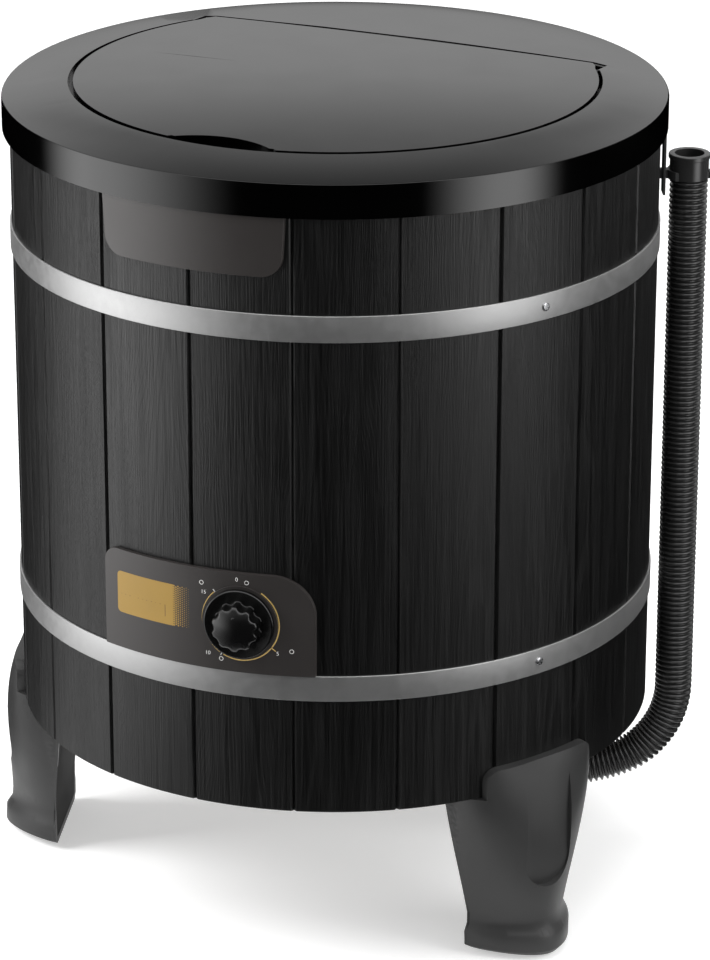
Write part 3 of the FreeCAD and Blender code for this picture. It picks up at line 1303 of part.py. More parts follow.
def tube_along(points, radius, bends):
    """A solid rod along straight runs joined by tangent arcs, in the upright plane at the front."""
    edges, _ = route_edges(points, bends)
    path = Part.Wire(edges)
    start = edges[0].Vertexes[0].Point
    away = (edges[0].Vertexes[1].Point - start).normalize()
    section = Part.Wire(Part.Circle(start, away, radius).toShape())
    return path.makePipeShell([section], True, False)


def route_edges(points, bends):
    """Line and arc edges of a route of (reach, height) points, and the length of each."""
    places = [V(0, -reach, z) for reach, z in points]
    edges = []
    last = places[0]
    for i, bend in zip(range(1, len(places) - 1), bends):
        corner = places[i]
        before = (places[i - 1] - corner).normalize()
        after = (places[i + 1] - corner).normalize()
        half = before.getAngle(after) / 2
        run = bend / math.tan(half)
        start = corner + before * run
        end = corner + after * run
        middle = corner + (before + after).normalize() * (bend / math.sin(half) - bend)
        edges.append(Part.LineSegment(last, start).toShape())
        edges.append(Part.Arc(start, middle, end).toShape())
        last = end
    edges.append(Part.LineSegment(last, places[-1]).toShape())
    return edges, [edge.Length for edge in edges]


def hose_bends():
    """Each bend is as large as its two runs allow."""
    places = [V(0, -reach, z) for reach, z in HOSE_ROUTE]
    bends = []
    for before, corner, after in zip(places, places[1:], places[2:]):
        half_turn = (math.pi - (before - corner).getAngle(after - corner)) / 2
        shorter = min(corner.distanceToPoint(before), corner.distanceToPoint(after))
        bends.append(HOSE_ARC_SHARE * shorter / math.tan(half_turn))
    return bends


def hose_stations():
    """Distances along the hose with the radius there: a plain end, then four circles for each rib."""
    edges, lengths = route_edges(HOSE_ROUTE, hose_bends())
    total = sum(lengths)
    pitch = (total - 2 * HOSE_PLAIN_END) / HOSE_RIBS
    stations = [(0.0, HOSE_VALLEY_RADIUS)]
    for i in range(HOSE_RIBS):
        start = HOSE_PLAIN_END + i * pitch
        for share, radius in HOSE_RIB_PROFILE:
            stations.append((start + share * pitch, radius))
    stations.append((total, HOSE_VALLEY_RADIUS))
    return edges, lengths, stations


def drain_hose():
    """Corrugated hose: a ruled loft through circles set square to the route, with a plain bore."""
    edges, lengths, stations = hose_stations()
    circles = []
    for distance, radius in stations:
        index = 0
        while index < len(edges) - 1 and distance > lengths[index]:
            distance -= lengths[index]
            index += 1
        edge = edges[index]
        at = edge.getParameterByLength(min(distance, lengths[index]))
        circle = Part.Circle(edge.valueAt(at), edge.tangentAt(at), radius)
        circle.XAxis = V(1, 0, 0)
        circles.append(Part.Wire(circle.toShape()))
    skin = Part.makeLoft(circles, True, True)
    bore = tube_along(HOSE_ROUTE, HOSE_BORE_RADIUS, hose_bends())
    hose = skin.cut(bore)
    print("drain hose bends", [round(bend, 1) for bend in hose_bends()])
    print("drain hose length", round(sum(lengths), 1), "volume", round(hose.Volume))
    return turned(hose, HOSE_ANGLE)


def hose_cuff():
    """Sleeve on the hose's open upper end, with a lip round its mouth and an upright tab outside."""
    reach, low = HOSE_ROUTE[0]
    high = low + CUFF_HEIGHT
    lip_bottom = high - CUFF_LIP_HEIGHT
    cuff = revolved(
        [
            (HOSE_BORE_RADIUS, low),
            (CUFF_BODY_RADIUS, low),
            (CUFF_BODY_RADIUS, lip_bottom),
            (CUFF_RADIUS, lip_bottom),
            (CUFF_RADIUS, high),
            (HOSE_BORE_RADIUS, high),
        ],
        {4: CUFF_ROUND},
    )
    half = CUFF_TAB_WIDTH / 2
    tab = block(-half, half, -CUFF_TAB_REACH, CUFF_TAB_WALL - CUFF_TAB_REACH, low, high)
    root = block(-half, half, -CUFF_TAB_REACH, 0, low, low + CUFF_TAB_ROOT)
    root = root.cut(cylinder(CUFF_BODY_RADIUS - OVERRUN, low - OVERRUN, high))
    return turned(cuff.fuse([tab, root]).translated(V(0, -reach, 0)), HOSE_ANGLE)


def hose_hook():
    """Strap hung under the rim, with an arm from the barrel to a saddle on the near side of the cuff."""
    reach, low = HOSE_ROUTE[0]
    high = low + HOOK_SADDLE_HEIGHT
    top = RIM_BOTTOM - PLATE_TOP_GAP
    back = BARREL_RADIUS + HOOK_STANDOFF
    half = HOOK_WIDTH / 2
    strap = block(-half, half, -back - HOOK_THICKNESS, -back, low - HOOK_TAIL, top)
    inside = CUFF_BODY_RADIUS + HOOK_SADDLE_FIT
    half_saddle = HOOK_SADDLE_WIDTH / 2
    saddle = ring(inside + HOOK_SADDLE_WALL, inside, low, high)
    saddle = saddle.common(block(-half_saddle, half_saddle, 0, reach, low, high))
    half_arm = HOOK_ARM_WIDTH / 2
    arm = block(-half_arm, half_arm, 0, reach - BARREL_RADIUS, low, high)
    arm = arm.cut(through_hole(inside, low, high))
    holder = saddle.fuse(arm).translated(V(0, -reach, 0))
    return turned(strap.fuse(holder).removeSplitter(), HOSE_ANGLE)


def drain_route():
    height = HOSE_ROUTE[-1][1]
    end = HOSE_ROUTE[-1][0] + DRAIN_SPIGOT
    top = TUB_BOTTOM - SPOUT_LENGTH + SPOUT_SOCKET
    return [(DRAIN_REACH, top), (DRAIN_REACH, height), (end, height)]


def drain_pipe():
    """Pipe with an elbow under the base board, ending in a spigot inside the hose behind a stop collar."""
    outer = tube_along(drain_route(), DRAIN_RADIUS, [DRAIN_BEND])
    inner = tube_along(drain_route(), DRAIN_RADIUS - DRAIN_WALL, [DRAIN_BEND])
    reach, height = HOSE_ROUTE[-1]
    collar = Part.makeCylinder(DRAIN_STOP_RADIUS, DRAIN_STOP_WIDTH, V(0, -reach, height), V(0, 1, 0))
    return turned(outer.fuse(collar).cut(inner), HOSE_ANGLE)


def hose_clamp():
    """Band with two screwed lugs round the hose's lower end."""
    reach, height = HOSE_ROUTE[-1]
    inner = HOSE_RADIUS + CLAMP_FIT
    outer = inner + CLAMP_WALL
    band = Part.makeCylinder(outer, CLAMP_WIDTH).cut(Part.makeCylinder(inner, CLAMP_WIDTH))
    half = CLAMP_LUG_WIDTH / 2
    lugs = block(-half, half, -outer - CLAMP_LUG_LENGTH, -inner - CLAMP_WALL / 2, 0, CLAMP_WIDTH)
    lug_end = -outer - CLAMP_LUG_LENGTH
    slit = block(-CLAMP_SLIT / 2, CLAMP_SLIT / 2, lug_end - OVERRUN, 0, -OVERRUN, CLAMP_WIDTH + OVERRUN)
    clamp = band.fuse(lugs).cut(slit)
    return facing_out(clamp, HOSE_ANGLE, reach + CLAMP_WIDTH / 2, height)


def cord_gland():
    """Gland through a rear stave: a flange outside, a nut inside and a hole for the lead."""
    inside = STAVE_INSIDE - GLAND_NUT_HEIGHT
    stem = Part.makeCylinder(GLAND_STEM_RADIUS, BARREL_RADIUS + GLAND_FLANGE_HEIGHT - inside)
    nut = Part.makeCylinder(GLAND_NUT_RADIUS, GLAND_NUT_HEIGHT)
    flange_low = BARREL_RADIUS - inside
    flange = revolved(
        [
            (0, flange_low),
            (GLAND_FLANGE_RADIUS, flange_low),
            (GLAND_FLANGE_RADIUS, flange_low + GLAND_FLANGE_HEIGHT / 2),
            (GLAND_STEM_RADIUS, flange_low + GLAND_FLANGE_HEIGHT),
            (0, flange_low + GLAND_FLANGE_HEIGHT),
        ],
        {2: GLAND_FLANGE_ROUND},
    )
    bore = cylinder(GLAND_BORE_RADIUS, -OVERRUN, BARREL_RADIUS)
    return facing_out(stem.fuse([nut, flange]).cut(bore), GLAND_ANGLE, inside, GLAND_HEIGHT)


parts = {
    **staves(),
    **{f"leg_{name}": leg(angle) for name, angle in LEG_ANGLES.items()},
    "upper_hoop": hoop(UPPER_HOOP_MIDDLE),
    "lower_hoop": hoop(LOWER_HOOP_MIDDLE),
    "hoop_screws": hoop_screws(),
    "base_board": base_board(),
    "top_rim": top_rim(),
    "lid": lid(),
    "lid_hinge_rod": lid_hinge_rod(),
    "badge_plate": badge_plate(),
    "control_panel": control_panel(),
    "timer_knob": timer_knob(),
    "timer_shaft": timer_shaft(),
    "timer_body": timer_body(),
    "wash_tub": wash_tub(),
    "shaft_seal": shaft_seal(),
    "bearing_housing": bearing_housing(),
    "shaft_bushes": shaft_bushes(),
    "agitator_shaft": agitator_shaft(),
    "agitator": agitator(),
    "agitator_cap": agitator_cap(),
    "driven_pulley": driven_pulley(),
    "pulley_nut": pulley_nut(),
    "v_belt": v_belt(),
    "motor_pulley": motor_pulley(),
    "motor_shaft": motor_shaft(),
    "motor_body": motor_body(),
    "motor_bracket": motor_bracket(),
    "motor_bolts": motor_bolts(),
    "capacitor": capacitor(),
    "capacitor_clip": capacitor_clip(),
    "leg_screws": leg_screws(),
    "foot_pads": foot_pads(),
    "drain_pipe": drain_pipe(),
    "drain_hose": drain_hose(),
    "hose_clamp": hose_clamp(),
    "hose_cuff": hose_cuff(),
    "hose_hook": hose_hook(),
    "cord_gland": cord_gland(),
}
os.makedirs("parts", exist_ok=True)
for name, shape in parts.items():
    solids = shape.Solids
    whole = solids[0] if len(solids) == 1 else Part.makeCompound(solids)
    whole.exportStep(os.path.join("parts", name + ".step"))
    print(name, len(solids), whole.isValid(), round(whole.Volume))
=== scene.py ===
"""Looks of a barrel washing machine: new surfaces on the CAD frame, materials, studio and camera.

Sizes are in millimetres until a mesh is made. An angle is counted from the front (-Y) towards +X.
"""

import json
import math

import bmesh
import bpy
import numpy as np
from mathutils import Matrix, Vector


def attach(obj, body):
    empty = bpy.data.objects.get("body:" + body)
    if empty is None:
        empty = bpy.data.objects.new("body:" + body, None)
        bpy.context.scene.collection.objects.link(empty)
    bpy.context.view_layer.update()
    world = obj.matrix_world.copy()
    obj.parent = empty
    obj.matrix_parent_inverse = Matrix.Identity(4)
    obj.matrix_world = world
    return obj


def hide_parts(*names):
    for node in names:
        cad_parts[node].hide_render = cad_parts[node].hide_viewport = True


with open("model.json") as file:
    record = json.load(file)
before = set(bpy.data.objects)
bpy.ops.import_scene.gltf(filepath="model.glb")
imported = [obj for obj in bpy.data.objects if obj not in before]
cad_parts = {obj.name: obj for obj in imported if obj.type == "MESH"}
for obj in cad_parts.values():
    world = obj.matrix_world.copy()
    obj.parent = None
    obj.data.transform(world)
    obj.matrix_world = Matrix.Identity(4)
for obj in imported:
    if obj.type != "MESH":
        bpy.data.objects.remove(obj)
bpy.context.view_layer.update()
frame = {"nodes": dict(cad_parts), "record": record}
MM = 0.001


# Camera at the photograph's place: to the right of the front, looking down

CAMERA_AZIMUTH = 25.2
CAMERA_PITCH = 21.08
CAMERA_REACH = 3611.9
CAMERA_HEIGHT = 1748.7
FOCAL_LENGTH = 160.7
SENSOR_WIDTH = 36.0
SIDE_SHIFT = 0.0206


def place(angle, reach, height):
    """The point at an angle, a distance from the barrel's axis and a height, in metres."""
    turn = math.radians(angle)
    return Vector((reach * math.sin(turn), -reach * math.cos(turn), height)) * MM


def photo_camera():
    """A camera where the photograph was taken from."""
    lens = bpy.data.cameras.new("photo_camera")
    lens.lens = FOCAL_LENGTH
    lens.sensor_width = SENSOR_WIDTH
    lens.shift_x = SIDE_SHIFT
    lens.clip_end = 50.0
    camera = bpy.data.objects.new("photo_camera", lens)
    camera.location = place(CAMERA_AZIMUTH, CAMERA_REACH, CAMERA_HEIGHT)
    camera.rotation_euler = (math.radians(90.0 - CAMERA_PITCH), 0.0, math.radians(CAMERA_AZIMUTH))
    bpy.context.scene.collection.objects.link(camera)
    bpy.context.scene.camera = camera


photo_camera()


# Helpers for materials

# Map Range settings for an eased step between its ends
SMOOTH = {"interpolation_type": "SMOOTHSTEP"}


def linear(colour, share=1.0):
    """Linear red, green, blue and alpha of an sRGB hex colour, made darker or lighter by a share."""
    parts = np.array([int(colour[i : i + 2], 16) for i in (1, 3, 5)]) / 255.0
    low, high = parts / 12.92, ((parts + 0.055) / 1.055) ** 2.4
    light = np.where(parts <= 0.04045, low, high) * share
    return (*np.minimum(light, 1.0).tolist(), 1.0)


def add(tree, kind, inputs=None, **settings):
    """A shader node with its settings; each input is a value or the socket that is linked to it."""
    made = tree.nodes.new("ShaderNode" + kind)
    for name, value in settings.items():
        setattr(made, name, value)
    for key, value in (inputs or {}).items():
        if isinstance(value, bpy.types.NodeSocket):
            tree.links.new(value, made.inputs[key])
        else:
            made.inputs[key].default_value = value
    return made.outputs


def new_material(name):
    """An empty material and its node tree."""
    made = bpy.data.materials.new(name)
    made.use_nodes = True
    made.node_tree.nodes.clear()
    return made, made.node_tree


def per_metre(*sizes):
    """How many times a pattern of each size fits in a metre."""
    return [1.0 / (size * MM) for size in sizes]


# Moulded plastics, rubber, enamel and inks

CLOUD_WIDTH = 45.0


def moulded(name, colour, roughness, grain=0.8, depth=0.02, tone=0.12, spread=0.05, gloss=0.5):
    """An even colour that clouds a little over some centimetres, a fine tool grain of that width and depth,
    and a sheen that wanders with the clouds."""
    made, tree = new_material(name)
    where = add(tree, "TexCoord")["Object"]
    broad, close = per_metre(CLOUD_WIDTH, grain)
    cloud = add(tree, "TexNoise", {"Vector": where, "Scale": broad, "Detail": 3.0, "Roughness": 0.5})["Fac"]
    fine = add(tree, "TexNoise", {"Vector": where, "Scale": close, "Detail": 2.0, "Roughness": 0.5})["Fac"]
    shades = {"Factor": cloud, "A": linear(colour, 1.0 - tone), "B": linear(colour, 1.0 + tone)}
    mixed = add(tree, "Mix", shades, data_type="RGBA")[2]
    ends = {"To Min": roughness - spread, "To Max": roughness + spread}
    sheen = add(tree, "MapRange", {"Value": cloud, "From Min": 0.25, "From Max": 0.75, **ends}, **SMOOTH)
    bump = add(tree, "Bump", {"Strength": 1.0, "Distance": depth * MM, "Height": fine})["Normal"]
    finish = {"Base Color": mixed, "Roughness": sheen["Result"], "Normal": bump, "Specular IOR Level": gloss}
    add(tree, "OutputMaterial", {"Surface": add(tree, "BsdfPrincipled", finish)["BSDF"]})
    return made


# ABS from a polished tool: a black mirror, so that the top shows the studio instead of a colour of its own
POLISHED_ABS = moulded("polished black ABS", "#020202", 0.1, depth=0.0, spread=0.02)
# Polypropylene from a finely etched tool: dark grey with one broad, soft shine down each leg
ETCHED_PLASTIC = moulded(
    "etched grey polypropylene", "#303030", 0.45, grain=0.5, gloss=0.4
)
# The same plastic on a leg's hidden side, left rough and coloured darker than the leg's: painted shade, a
# dull shade that reads as a hollow in shadow
ROUGH_SHADE_PLASTIC = moulded("rough grey polypropylene in painted shade", "#1b1b1b", 0.8, grain=0.6, gloss=0.3)
# ABS moulded satin: near black, with small soft shines on the ridges of the grip
SATIN_ABS = moulded("satin black ABS", "#090909", 0.26, depth=0.0, spread=0.03)
# Polyethylene blown into ribs: dark grey and waxy, with a bright spot on each rib
BLOWN_HOSE = moulded("blown grey polyethylene", "#2a2a2a", 0.22, grain=0.6)
# Polypropylene moulded smooth: the pale grey of the tub, and the agitator's blue grey, both softly shiny
TUB_PLASTIC = moulded("pale grey polypropylene", "#c9cccd", 0.3, grain=1.5, tone=0.02)
AGITATOR_PLASTIC = moulded(
    "blue grey polypropylene", "#8894a3", 0.3, grain=1.5, tone=0.04
)
# Rubber moulded plain: black and dull, with a visible grain
MOULDED_RUBBER = moulded("moulded black rubber", "#161616", 0.75, grain=0.6, depth=0.05)
# Steel under stoved enamel: black and smooth, with the faint waviness of paint
ENAMEL = moulded("stoved black enamel", "#17181a", 0.3, grain=2.0)
# Polycarbonate film with a satin face: a warm dark grey with a low, even shine
PANEL_FILM = moulded(
    "satin polycarbonate film", "#322f2e", 0.3, grain=0.5, tone=0.05, spread=0.02
)
# Screen-printed inks: flat colours, a little duller than the film that they lie on
GOLD_INK = moulded("screen-printed gold ink", "#9c7c36", 0.4, grain=0.4)
# The dial's arcs are the same gold ink as the field, made paler: painted highlight
HIGHLIGHT_GOLD_INK = moulded("screen-printed gold ink, paled as painted highlight", "#cbab62", 0.4, grain=0.4)
WHITE_INK = moulded("screen-printed white ink", "#d8d8d6", 0.5, grain=0.4)
BROWN_INK = moulded("screen-printed brown ink", "#5a4528", 0.5, grain=0.4)


# Metals


def metal(name, colour, roughness, grain=3.0, bare=1.0, tone=0.1, spread=0.08, depth=0.02):
    """Mirror-like where it is bare and duller where it is coated, over flakes of the grain's width that
    shift its colour, sheen and height together."""
    made, tree = new_material(name)
    where = add(tree, "TexCoord")["Object"]
    close = per_metre(grain)[0]
    flakes = add(tree, "TexNoise", {"Vector": where, "Scale": close, "Detail": 4.0, "Roughness": 0.6})["Fac"]
    span = {"Value": flakes, "From Min": 0.3, "From Max": 0.7}
    share = add(tree, "MapRange", span, **SMOOTH)["Result"]
    shades = {"Factor": share, "A": linear(colour, 1.0 - tone), "B": linear(colour, 1.0 + tone)}
    mixed = add(tree, "Mix", shades, data_type="RGBA")[2]
    ends = {"To Min": roughness - spread, "To Max": roughness + spread}
    sheen = add(tree, "MapRange", {**span, **ends}, **SMOOTH)["Result"]
    bump = add(tree, "Bump", {"Strength": 0.6, "Distance": depth * MM, "Height": flakes})["Normal"]
    finish = {"Base Color": mixed, "Metallic": bare, "Roughness": sheen, "Normal": bump}
    add(tree, "OutputMaterial", {"Surface": add(tree, "BsdfPrincipled", finish)["BSDF"]})
    return made


# Strap steel, galvanised: an even silver grey that smears the studio into long soft bands
GALVANISED = metal(
    "galvanised steel strap",
    "#b2b2b2",
    0.44,
    grain=8.0,
    bare=0.9,
    tone=0.03,
    spread=0.03,
    depth=0.0,
)
# Steel, turned: bright, with fine marks that break up its shine
TURNED_STEEL = metal("turned steel", "#b9babc", 0.28, grain=1.0)
# Bronze, sintered: a dull gold with fine pores
SINTERED_BRONZE = metal("sintered bronze", "#c79a55", 0.4, grain=1.0)
# Aluminium, die cast: pale and softly mirrored, mottled at about 2 mm
CAST_ALUMINIUM = metal("die cast aluminium", "#c3c5c7", 0.45, grain=2.0)


# Woods

# Width, length and depth of the marks in the wood; real pores are finer, and are drawn as coarse as they
# need to show
WANDER = (60.0, 360.0, 60.0)
PORES = (1.3, 91.0, 1.3)
STREAKS = (5.0, 300.0, 5.0)
PLY_BANDS = (9.0, 270.0, 9.0)
GRAIN_DEPTH = 0.12
# How far the arches' middle line may lie from the board's, and how far it leans on the way up, in metres
HEART_SWING = 0.07
LEAN_SWING = 0.02
ARCH_STEEPNESS = 9000.0
ARCHES_PER_METRE = 9.0


def stained_wood():
    """Planed board, stained black: a dark coat in which the open grain shows as fine upright lines and
    nested arches, lighter where the late wood stands proud, each board a little lighter or darker than the
    next. The UV map gives the board's number plus the metres across it, and the metres up it; an arch is a
    sine of the height plus the square of the way from the board's heart."""
    made, tree = new_material("planed softwood stained black")
    where = add(tree, "UVMap", uv_map="board")["UV"]
    split = add(tree, "SeparateXYZ", {"Vector": where})
    raised = add(tree, "Math", {0: split["X"], 1: 0.5}, operation="ADD")[0]
    board = add(tree, "Math", {0: raised}, operation="FLOOR")[0]
    across = add(tree, "Math", {0: split["X"], 1: board}, operation="SUBTRACT")[0]
    lot = add(tree, "TexWhiteNoise", {"W": board}, noise_dimensions="1D")["Value"]

    slow = add(tree, "Mapping", {"Vector": where, "Scale": per_metre(*WANDER)})["Vector"]
    wander = add(tree, "TexNoise", {"Vector": slow, "Scale": 1.0, "Detail": 2.0, "Roughness": 0.5})["Fac"]
    ends = {"To Min": -LEAN_SWING, "To Max": LEAN_SWING}
    lean = add(tree, "MapRange", {"Value": wander, **ends}, **SMOOTH)["Result"]
    heart = add(tree, "Math", {0: lot, 1: HEART_SWING, 2: -HEART_SWING / 2}, operation="MULTIPLY_ADD")[0]
    aside = add(tree, "Math", {0: across, 1: heart}, operation="SUBTRACT")[0]
    off = add(tree, "Math", {0: aside, 1: lean}, operation="ADD")[0]
    square = add(tree, "Math", {0: off, 1: off}, operation="MULTIPLY")[0]
    arch = add(tree, "Math", {0: square, 1: ARCH_STEEPNESS}, operation="MULTIPLY")[0]
    climb = add(tree, "Math", {0: split["Y"], 1: ARCHES_PER_METRE, 2: arch}, operation="MULTIPLY_ADD")[0]
    phase = add(tree, "Math", {0: climb, 1: 2 * math.pi}, operation="MULTIPLY")[0]
    rings = add(tree, "Math", {0: phase}, operation="SINE")[0]
    late = add(tree, "MapRange", {"Value": rings, "From Min": 0.2, "From Max": 1.0}, **SMOOTH)["Result"]

    close = add(tree, "Mapping", {"Vector": where, "Scale": per_metre(*PORES)})["Vector"]
    fine = add(tree, "TexNoise", {"Vector": close, "Scale": 1.0, "Detail": 4.0, "Roughness": 0.65})["Fac"]
    pores = add(tree, "MapRange", {"Value": fine, "From Min": 0.3, "From Max": 0.75}, **SMOOTH)["Result"]
    broad = add(tree, "Mapping", {"Vector": where, "Scale": per_metre(*STREAKS)})["Vector"]
    band = add(tree, "TexNoise", {"Vector": broad, "Scale": 1.0, "Detail": 3.0, "Roughness": 0.5})["Fac"]
    streak = add(tree, "MapRange", {"Value": band, "From Min": 0.35, "From Max": 0.7}, **SMOOTH)["Result"]
    lines = add(tree, "Math", {0: late, 1: 0.35, 2: pores}, operation="MULTIPLY_ADD")[0]
    grain = add(tree, "Math", {0: streak, 1: 0.5, 2: lines}, operation="MULTIPLY_ADD")[0]

    share = add(tree, "Math", {0: grain, 1: 0.55}, operation="MULTIPLY")[0]
    shades = {"Factor": share, "A": linear("#030303"), "B": linear("#0d0d0d")}
    stain = add(tree, "Mix", shades, data_type="RGBA")[2]
    depth = add(tree, "MapRange", {"Value": lot, "To Min": 0.75, "To Max": 1.3}, **SMOOTH)["Result"]
    toned = add(tree, "HueSaturation", {"Value": depth, "Color": stain})["Color"]
    ends = {"From Min": 0.0, "From Max": 1.6, "To Min": 0.32, "To Max": 0.5}
    sheen = add(tree, "MapRange", {"Value": grain, **ends}, **SMOOTH)["Result"]
    bump = add(tree, "Bump", {"Strength": 1.0, "Distance": GRAIN_DEPTH * MM, "Height": grain})["Normal"]
    surface = add(tree, "BsdfPrincipled", {"Base Color": toned, "Roughness": sheen, "Normal": bump})["BSDF"]
    add(tree, "OutputMaterial", {"Surface": surface})
    return made


def sealed_plywood():
    """Plywood, sealed: a dull brown with straight grain in broad bands."""
    made, tree = new_material("sealed plywood")
    where = add(tree, "TexCoord")["Object"]
    spot = add(tree, "Mapping", {"Vector": where, "Scale": per_metre(*PLY_BANDS)})["Vector"]
    bands = add(tree, "TexNoise", {"Vector": spot, "Scale": 1.0, "Detail": 4.0, "Roughness": 0.5})["Fac"]
    shades = {"Factor": bands, "A": linear("#4d463e"), "B": linear("#6e655a")}
    tint = add(tree, "Mix", shades, data_type="RGBA")[2]
    surface = add(tree, "BsdfPrincipled", {"Base Color": tint, "Roughness": 0.6})["BSDF"]
    add(tree, "OutputMaterial", {"Surface": surface})
    return made


STAINED_WOOD = stained_wood()
PLYWOOD = sealed_plywood()


# Helpers for surfaces


def rounded(points, radii, steps=6):
    """A closed outline whose corners are arcs of the given radii, tangent to both sides."""
    points = np.asarray(points, float)
    made = []
    for here, before, after, radius in zip(points, np.roll(points, 1, 0), np.roll(points, -1, 0), radii):
        if radius == 0:
            made.append(here[None])
            continue
        back = (before - here) / np.linalg.norm(before - here)
        on = (after - here) / np.linalg.norm(after - here)
        half = math.acos(float(np.clip(back @ on, -1.0, 1.0))) / 2
        centre = here + (back + on) / np.linalg.norm(back + on) * radius / math.sin(half)
        share = np.linspace(0.0, 1.0, steps + 1)[:, None]
        chord = here + (back * (1 - share) + on * share) * radius / math.tan(half) - centre
        made.append(centre + chord / np.linalg.norm(chord, axis=1)[:, None] * radius)
    return np.concatenate(made)


def revolved(profile, steps=180):
    """Points of a profile of radius and height, turned right round the upright axis."""
    turn = np.linspace(0.0, 2 * np.pi, steps + 1)
    radius, height = np.asarray(profile, float).T
    x, y = np.outer(radius, np.sin(turn)), -np.outer(radius, np.cos(turn))
    return np.stack([x, y, np.outer(height, np.ones_like(turn))], -1)


def closed(points):
    """The points with the first one again at the end."""
    return np.concatenate([points, points[:1]])


def unit(vectors):
    """The vectors at a length of 1."""
    return vectors / np.linalg.norm(vectors, axis=-1, keepdims=True)


def turned(points, angle):
    """Points made at the front, turned about the barrel's axis to an angle."""
    c, s = math.cos(math.radians(angle)), math.sin(math.radians(angle))
    return points @ np.array([[c, s, 0.0], [-s, c, 0.0], [0.0, 0.0, 1.0]])


def facing_out(points, angle, reach, height):
    """Points made along +Z from the origin, laid along the outward direction at an angle."""
    laid = np.stack([points[..., 0], -points[..., 2] - reach, points[..., 1] + height], -1)
    return turned(laid, angle)


def grid_faces(grid, start=0):
    """A quad between each four neighbours of a grid of points, counted from a first point."""
    index = start + np.arange(grid.shape[0] * grid.shape[1]).reshape(grid.shape[:2])
    corners = [index[:-1, :-1], index[1:, :-1], index[1:, 1:], index[:-1, 1:]]
    return np.stack(corners, -1).reshape(-1, 4).tolist()


def dress(made, material, body, sharp, replaced=()):
    """Gives a new mesh object its material, soft shading with crisp edges and its place in the frame."""
    made.data.materials.append(material)
    made.data.polygons.foreach_set("use_smooth", np.ones(len(made.data.polygons), bool))
    made.data.set_sharp_from_angle(angle=math.radians(sharp))
    bpy.context.scene.collection.objects.link(made)
    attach(made, body)
    if replaced:
        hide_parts(*replaced)
    return made


def piece(name, grids, material, replaced=(), body="machine", caps=(), uv=None, sharp=40.0):
    """A mesh of one or more grids of points, with a quad between each four neighbours, the borders that
    meet merged and the faces turned outward. caps are flat outlines that close an end."""
    starts = np.concatenate([[0], np.cumsum([grid.shape[0] * grid.shape[1] for grid in grids])]).astype(int)
    faces = []
    for grid, start in zip(grids, starts):
        faces += grid_faces(grid, start)
    end = starts[-1]
    for cap in caps:
        faces.append((end + np.arange(len(cap))).tolist())
        end += len(cap)
    points = [grid.reshape(-1, 3) for grid in grids] + list(caps)
    mesh = bpy.data.meshes.new(name)
    mesh.from_pydata(np.concatenate(points) * MM, [], faces)
    if uv is not None:
        corners = np.zeros(len(mesh.loops), np.int32)
        mesh.loops.foreach_get("vertex_index", corners)
        mesh.uv_layers.new(name=uv[0]).data.foreach_set("uv", uv[1][corners].ravel())
    shape = bmesh.new()
    shape.from_mesh(mesh)
    bmesh.ops.remove_doubles(shape, verts=shape.verts, dist=1e-6)
    bmesh.ops.recalc_face_normals(shape, faces=shape.faces)
    shape.to_mesh(mesh)
    shape.free()
    return dress(bpy.data.objects.new(name, mesh), material, body, sharp, replaced)


# Barrel

STAVES = 20
BARREL_RADIUS = 284.5
STAVE_INSIDE = 260.5
STAVE_BOTTOM, STAVE_TOP = 160.0, 700.0
STAVE_FOOT = 1.0
STAVE_FOOT_SHARE = 0.996
STAVE_ROW = 60.0
JOINT_BEVEL = 2.2
JOINT_GAP = 0.05
HOOP_CLEARANCE = 0.2
HOOP_THICKNESS = 1.5
HOOP_HALF_WIDTH = 11.5
HOOP_EDGE = 0.5
HOOPS = {"upper_hoop": 598.5, "lower_hoop": 276.5}


def staves():
    """Each board is its cross-section times its height: an arc of the barrel outside, straight sides along
    the joints with bevelled outer corners, flat inside. The outer edge is eased at the foot."""
    half = math.pi / STAVES
    turn = np.linspace(-1.0, 1.0, 17) * (half - JOINT_BEVEL / BARREL_RADIUS)
    face = np.stack([np.sin(turn), np.cos(turn)], -1) * BARREL_RADIUS
    shoulder = np.array([math.sin(half), math.cos(half)]) * (BARREL_RADIUS - JOINT_BEVEL) - [JOINT_GAP, 0.0]
    root = np.array([math.tan(half), 1.0]) * STAVE_INSIDE - [JOINT_GAP, 0.0]
    flip = np.array([-1.0, 1.0])
    ring = closed(np.concatenate([face, [shoulder, root, root * flip, shoulder * flip]]))
    foot, head = STAVE_BOTTOM, STAVE_TOP
    heights = np.array([foot, foot + STAVE_FOOT, foot + STAVE_ROW, head - STAVE_ROW, head])
    ease = np.array([STAVE_FOOT_SHARE, 1.0, 1.0, 1.0, 1.0])
    x, y = np.outer(ease, ring[:, 0]), -np.outer(ease, ring[:, 1])
    grid = np.stack([x, y, np.outer(heights, np.ones(len(ring)))], -1)
    grids, caps, spots = [], [], []
    for number in range(STAVES):
        board = turned(grid, (number + 0.5) * 360.0 / STAVES)
        grids.append(board)
        caps += [board[0, :-1], board[-1, :-1]]
        spots.append(np.stack([number + grid[..., 0] * MM, grid[..., 2] * MM], -1).reshape(-1, 2))
    for number in range(STAVES):
        for row in (0, -1):
            spots.append(np.stack([number + grid[row, :-1, 0] * MM, -grid[row, :-1, 1] * MM], -1))
    names = [f"stave_{number:02d}" for number in range(1, STAVES + 1)]
    marks = ("board", np.concatenate(spots))
    piece("barrel_staves", grids, STAINED_WOOD, names, caps=caps, uv=marks, sharp=25.0)


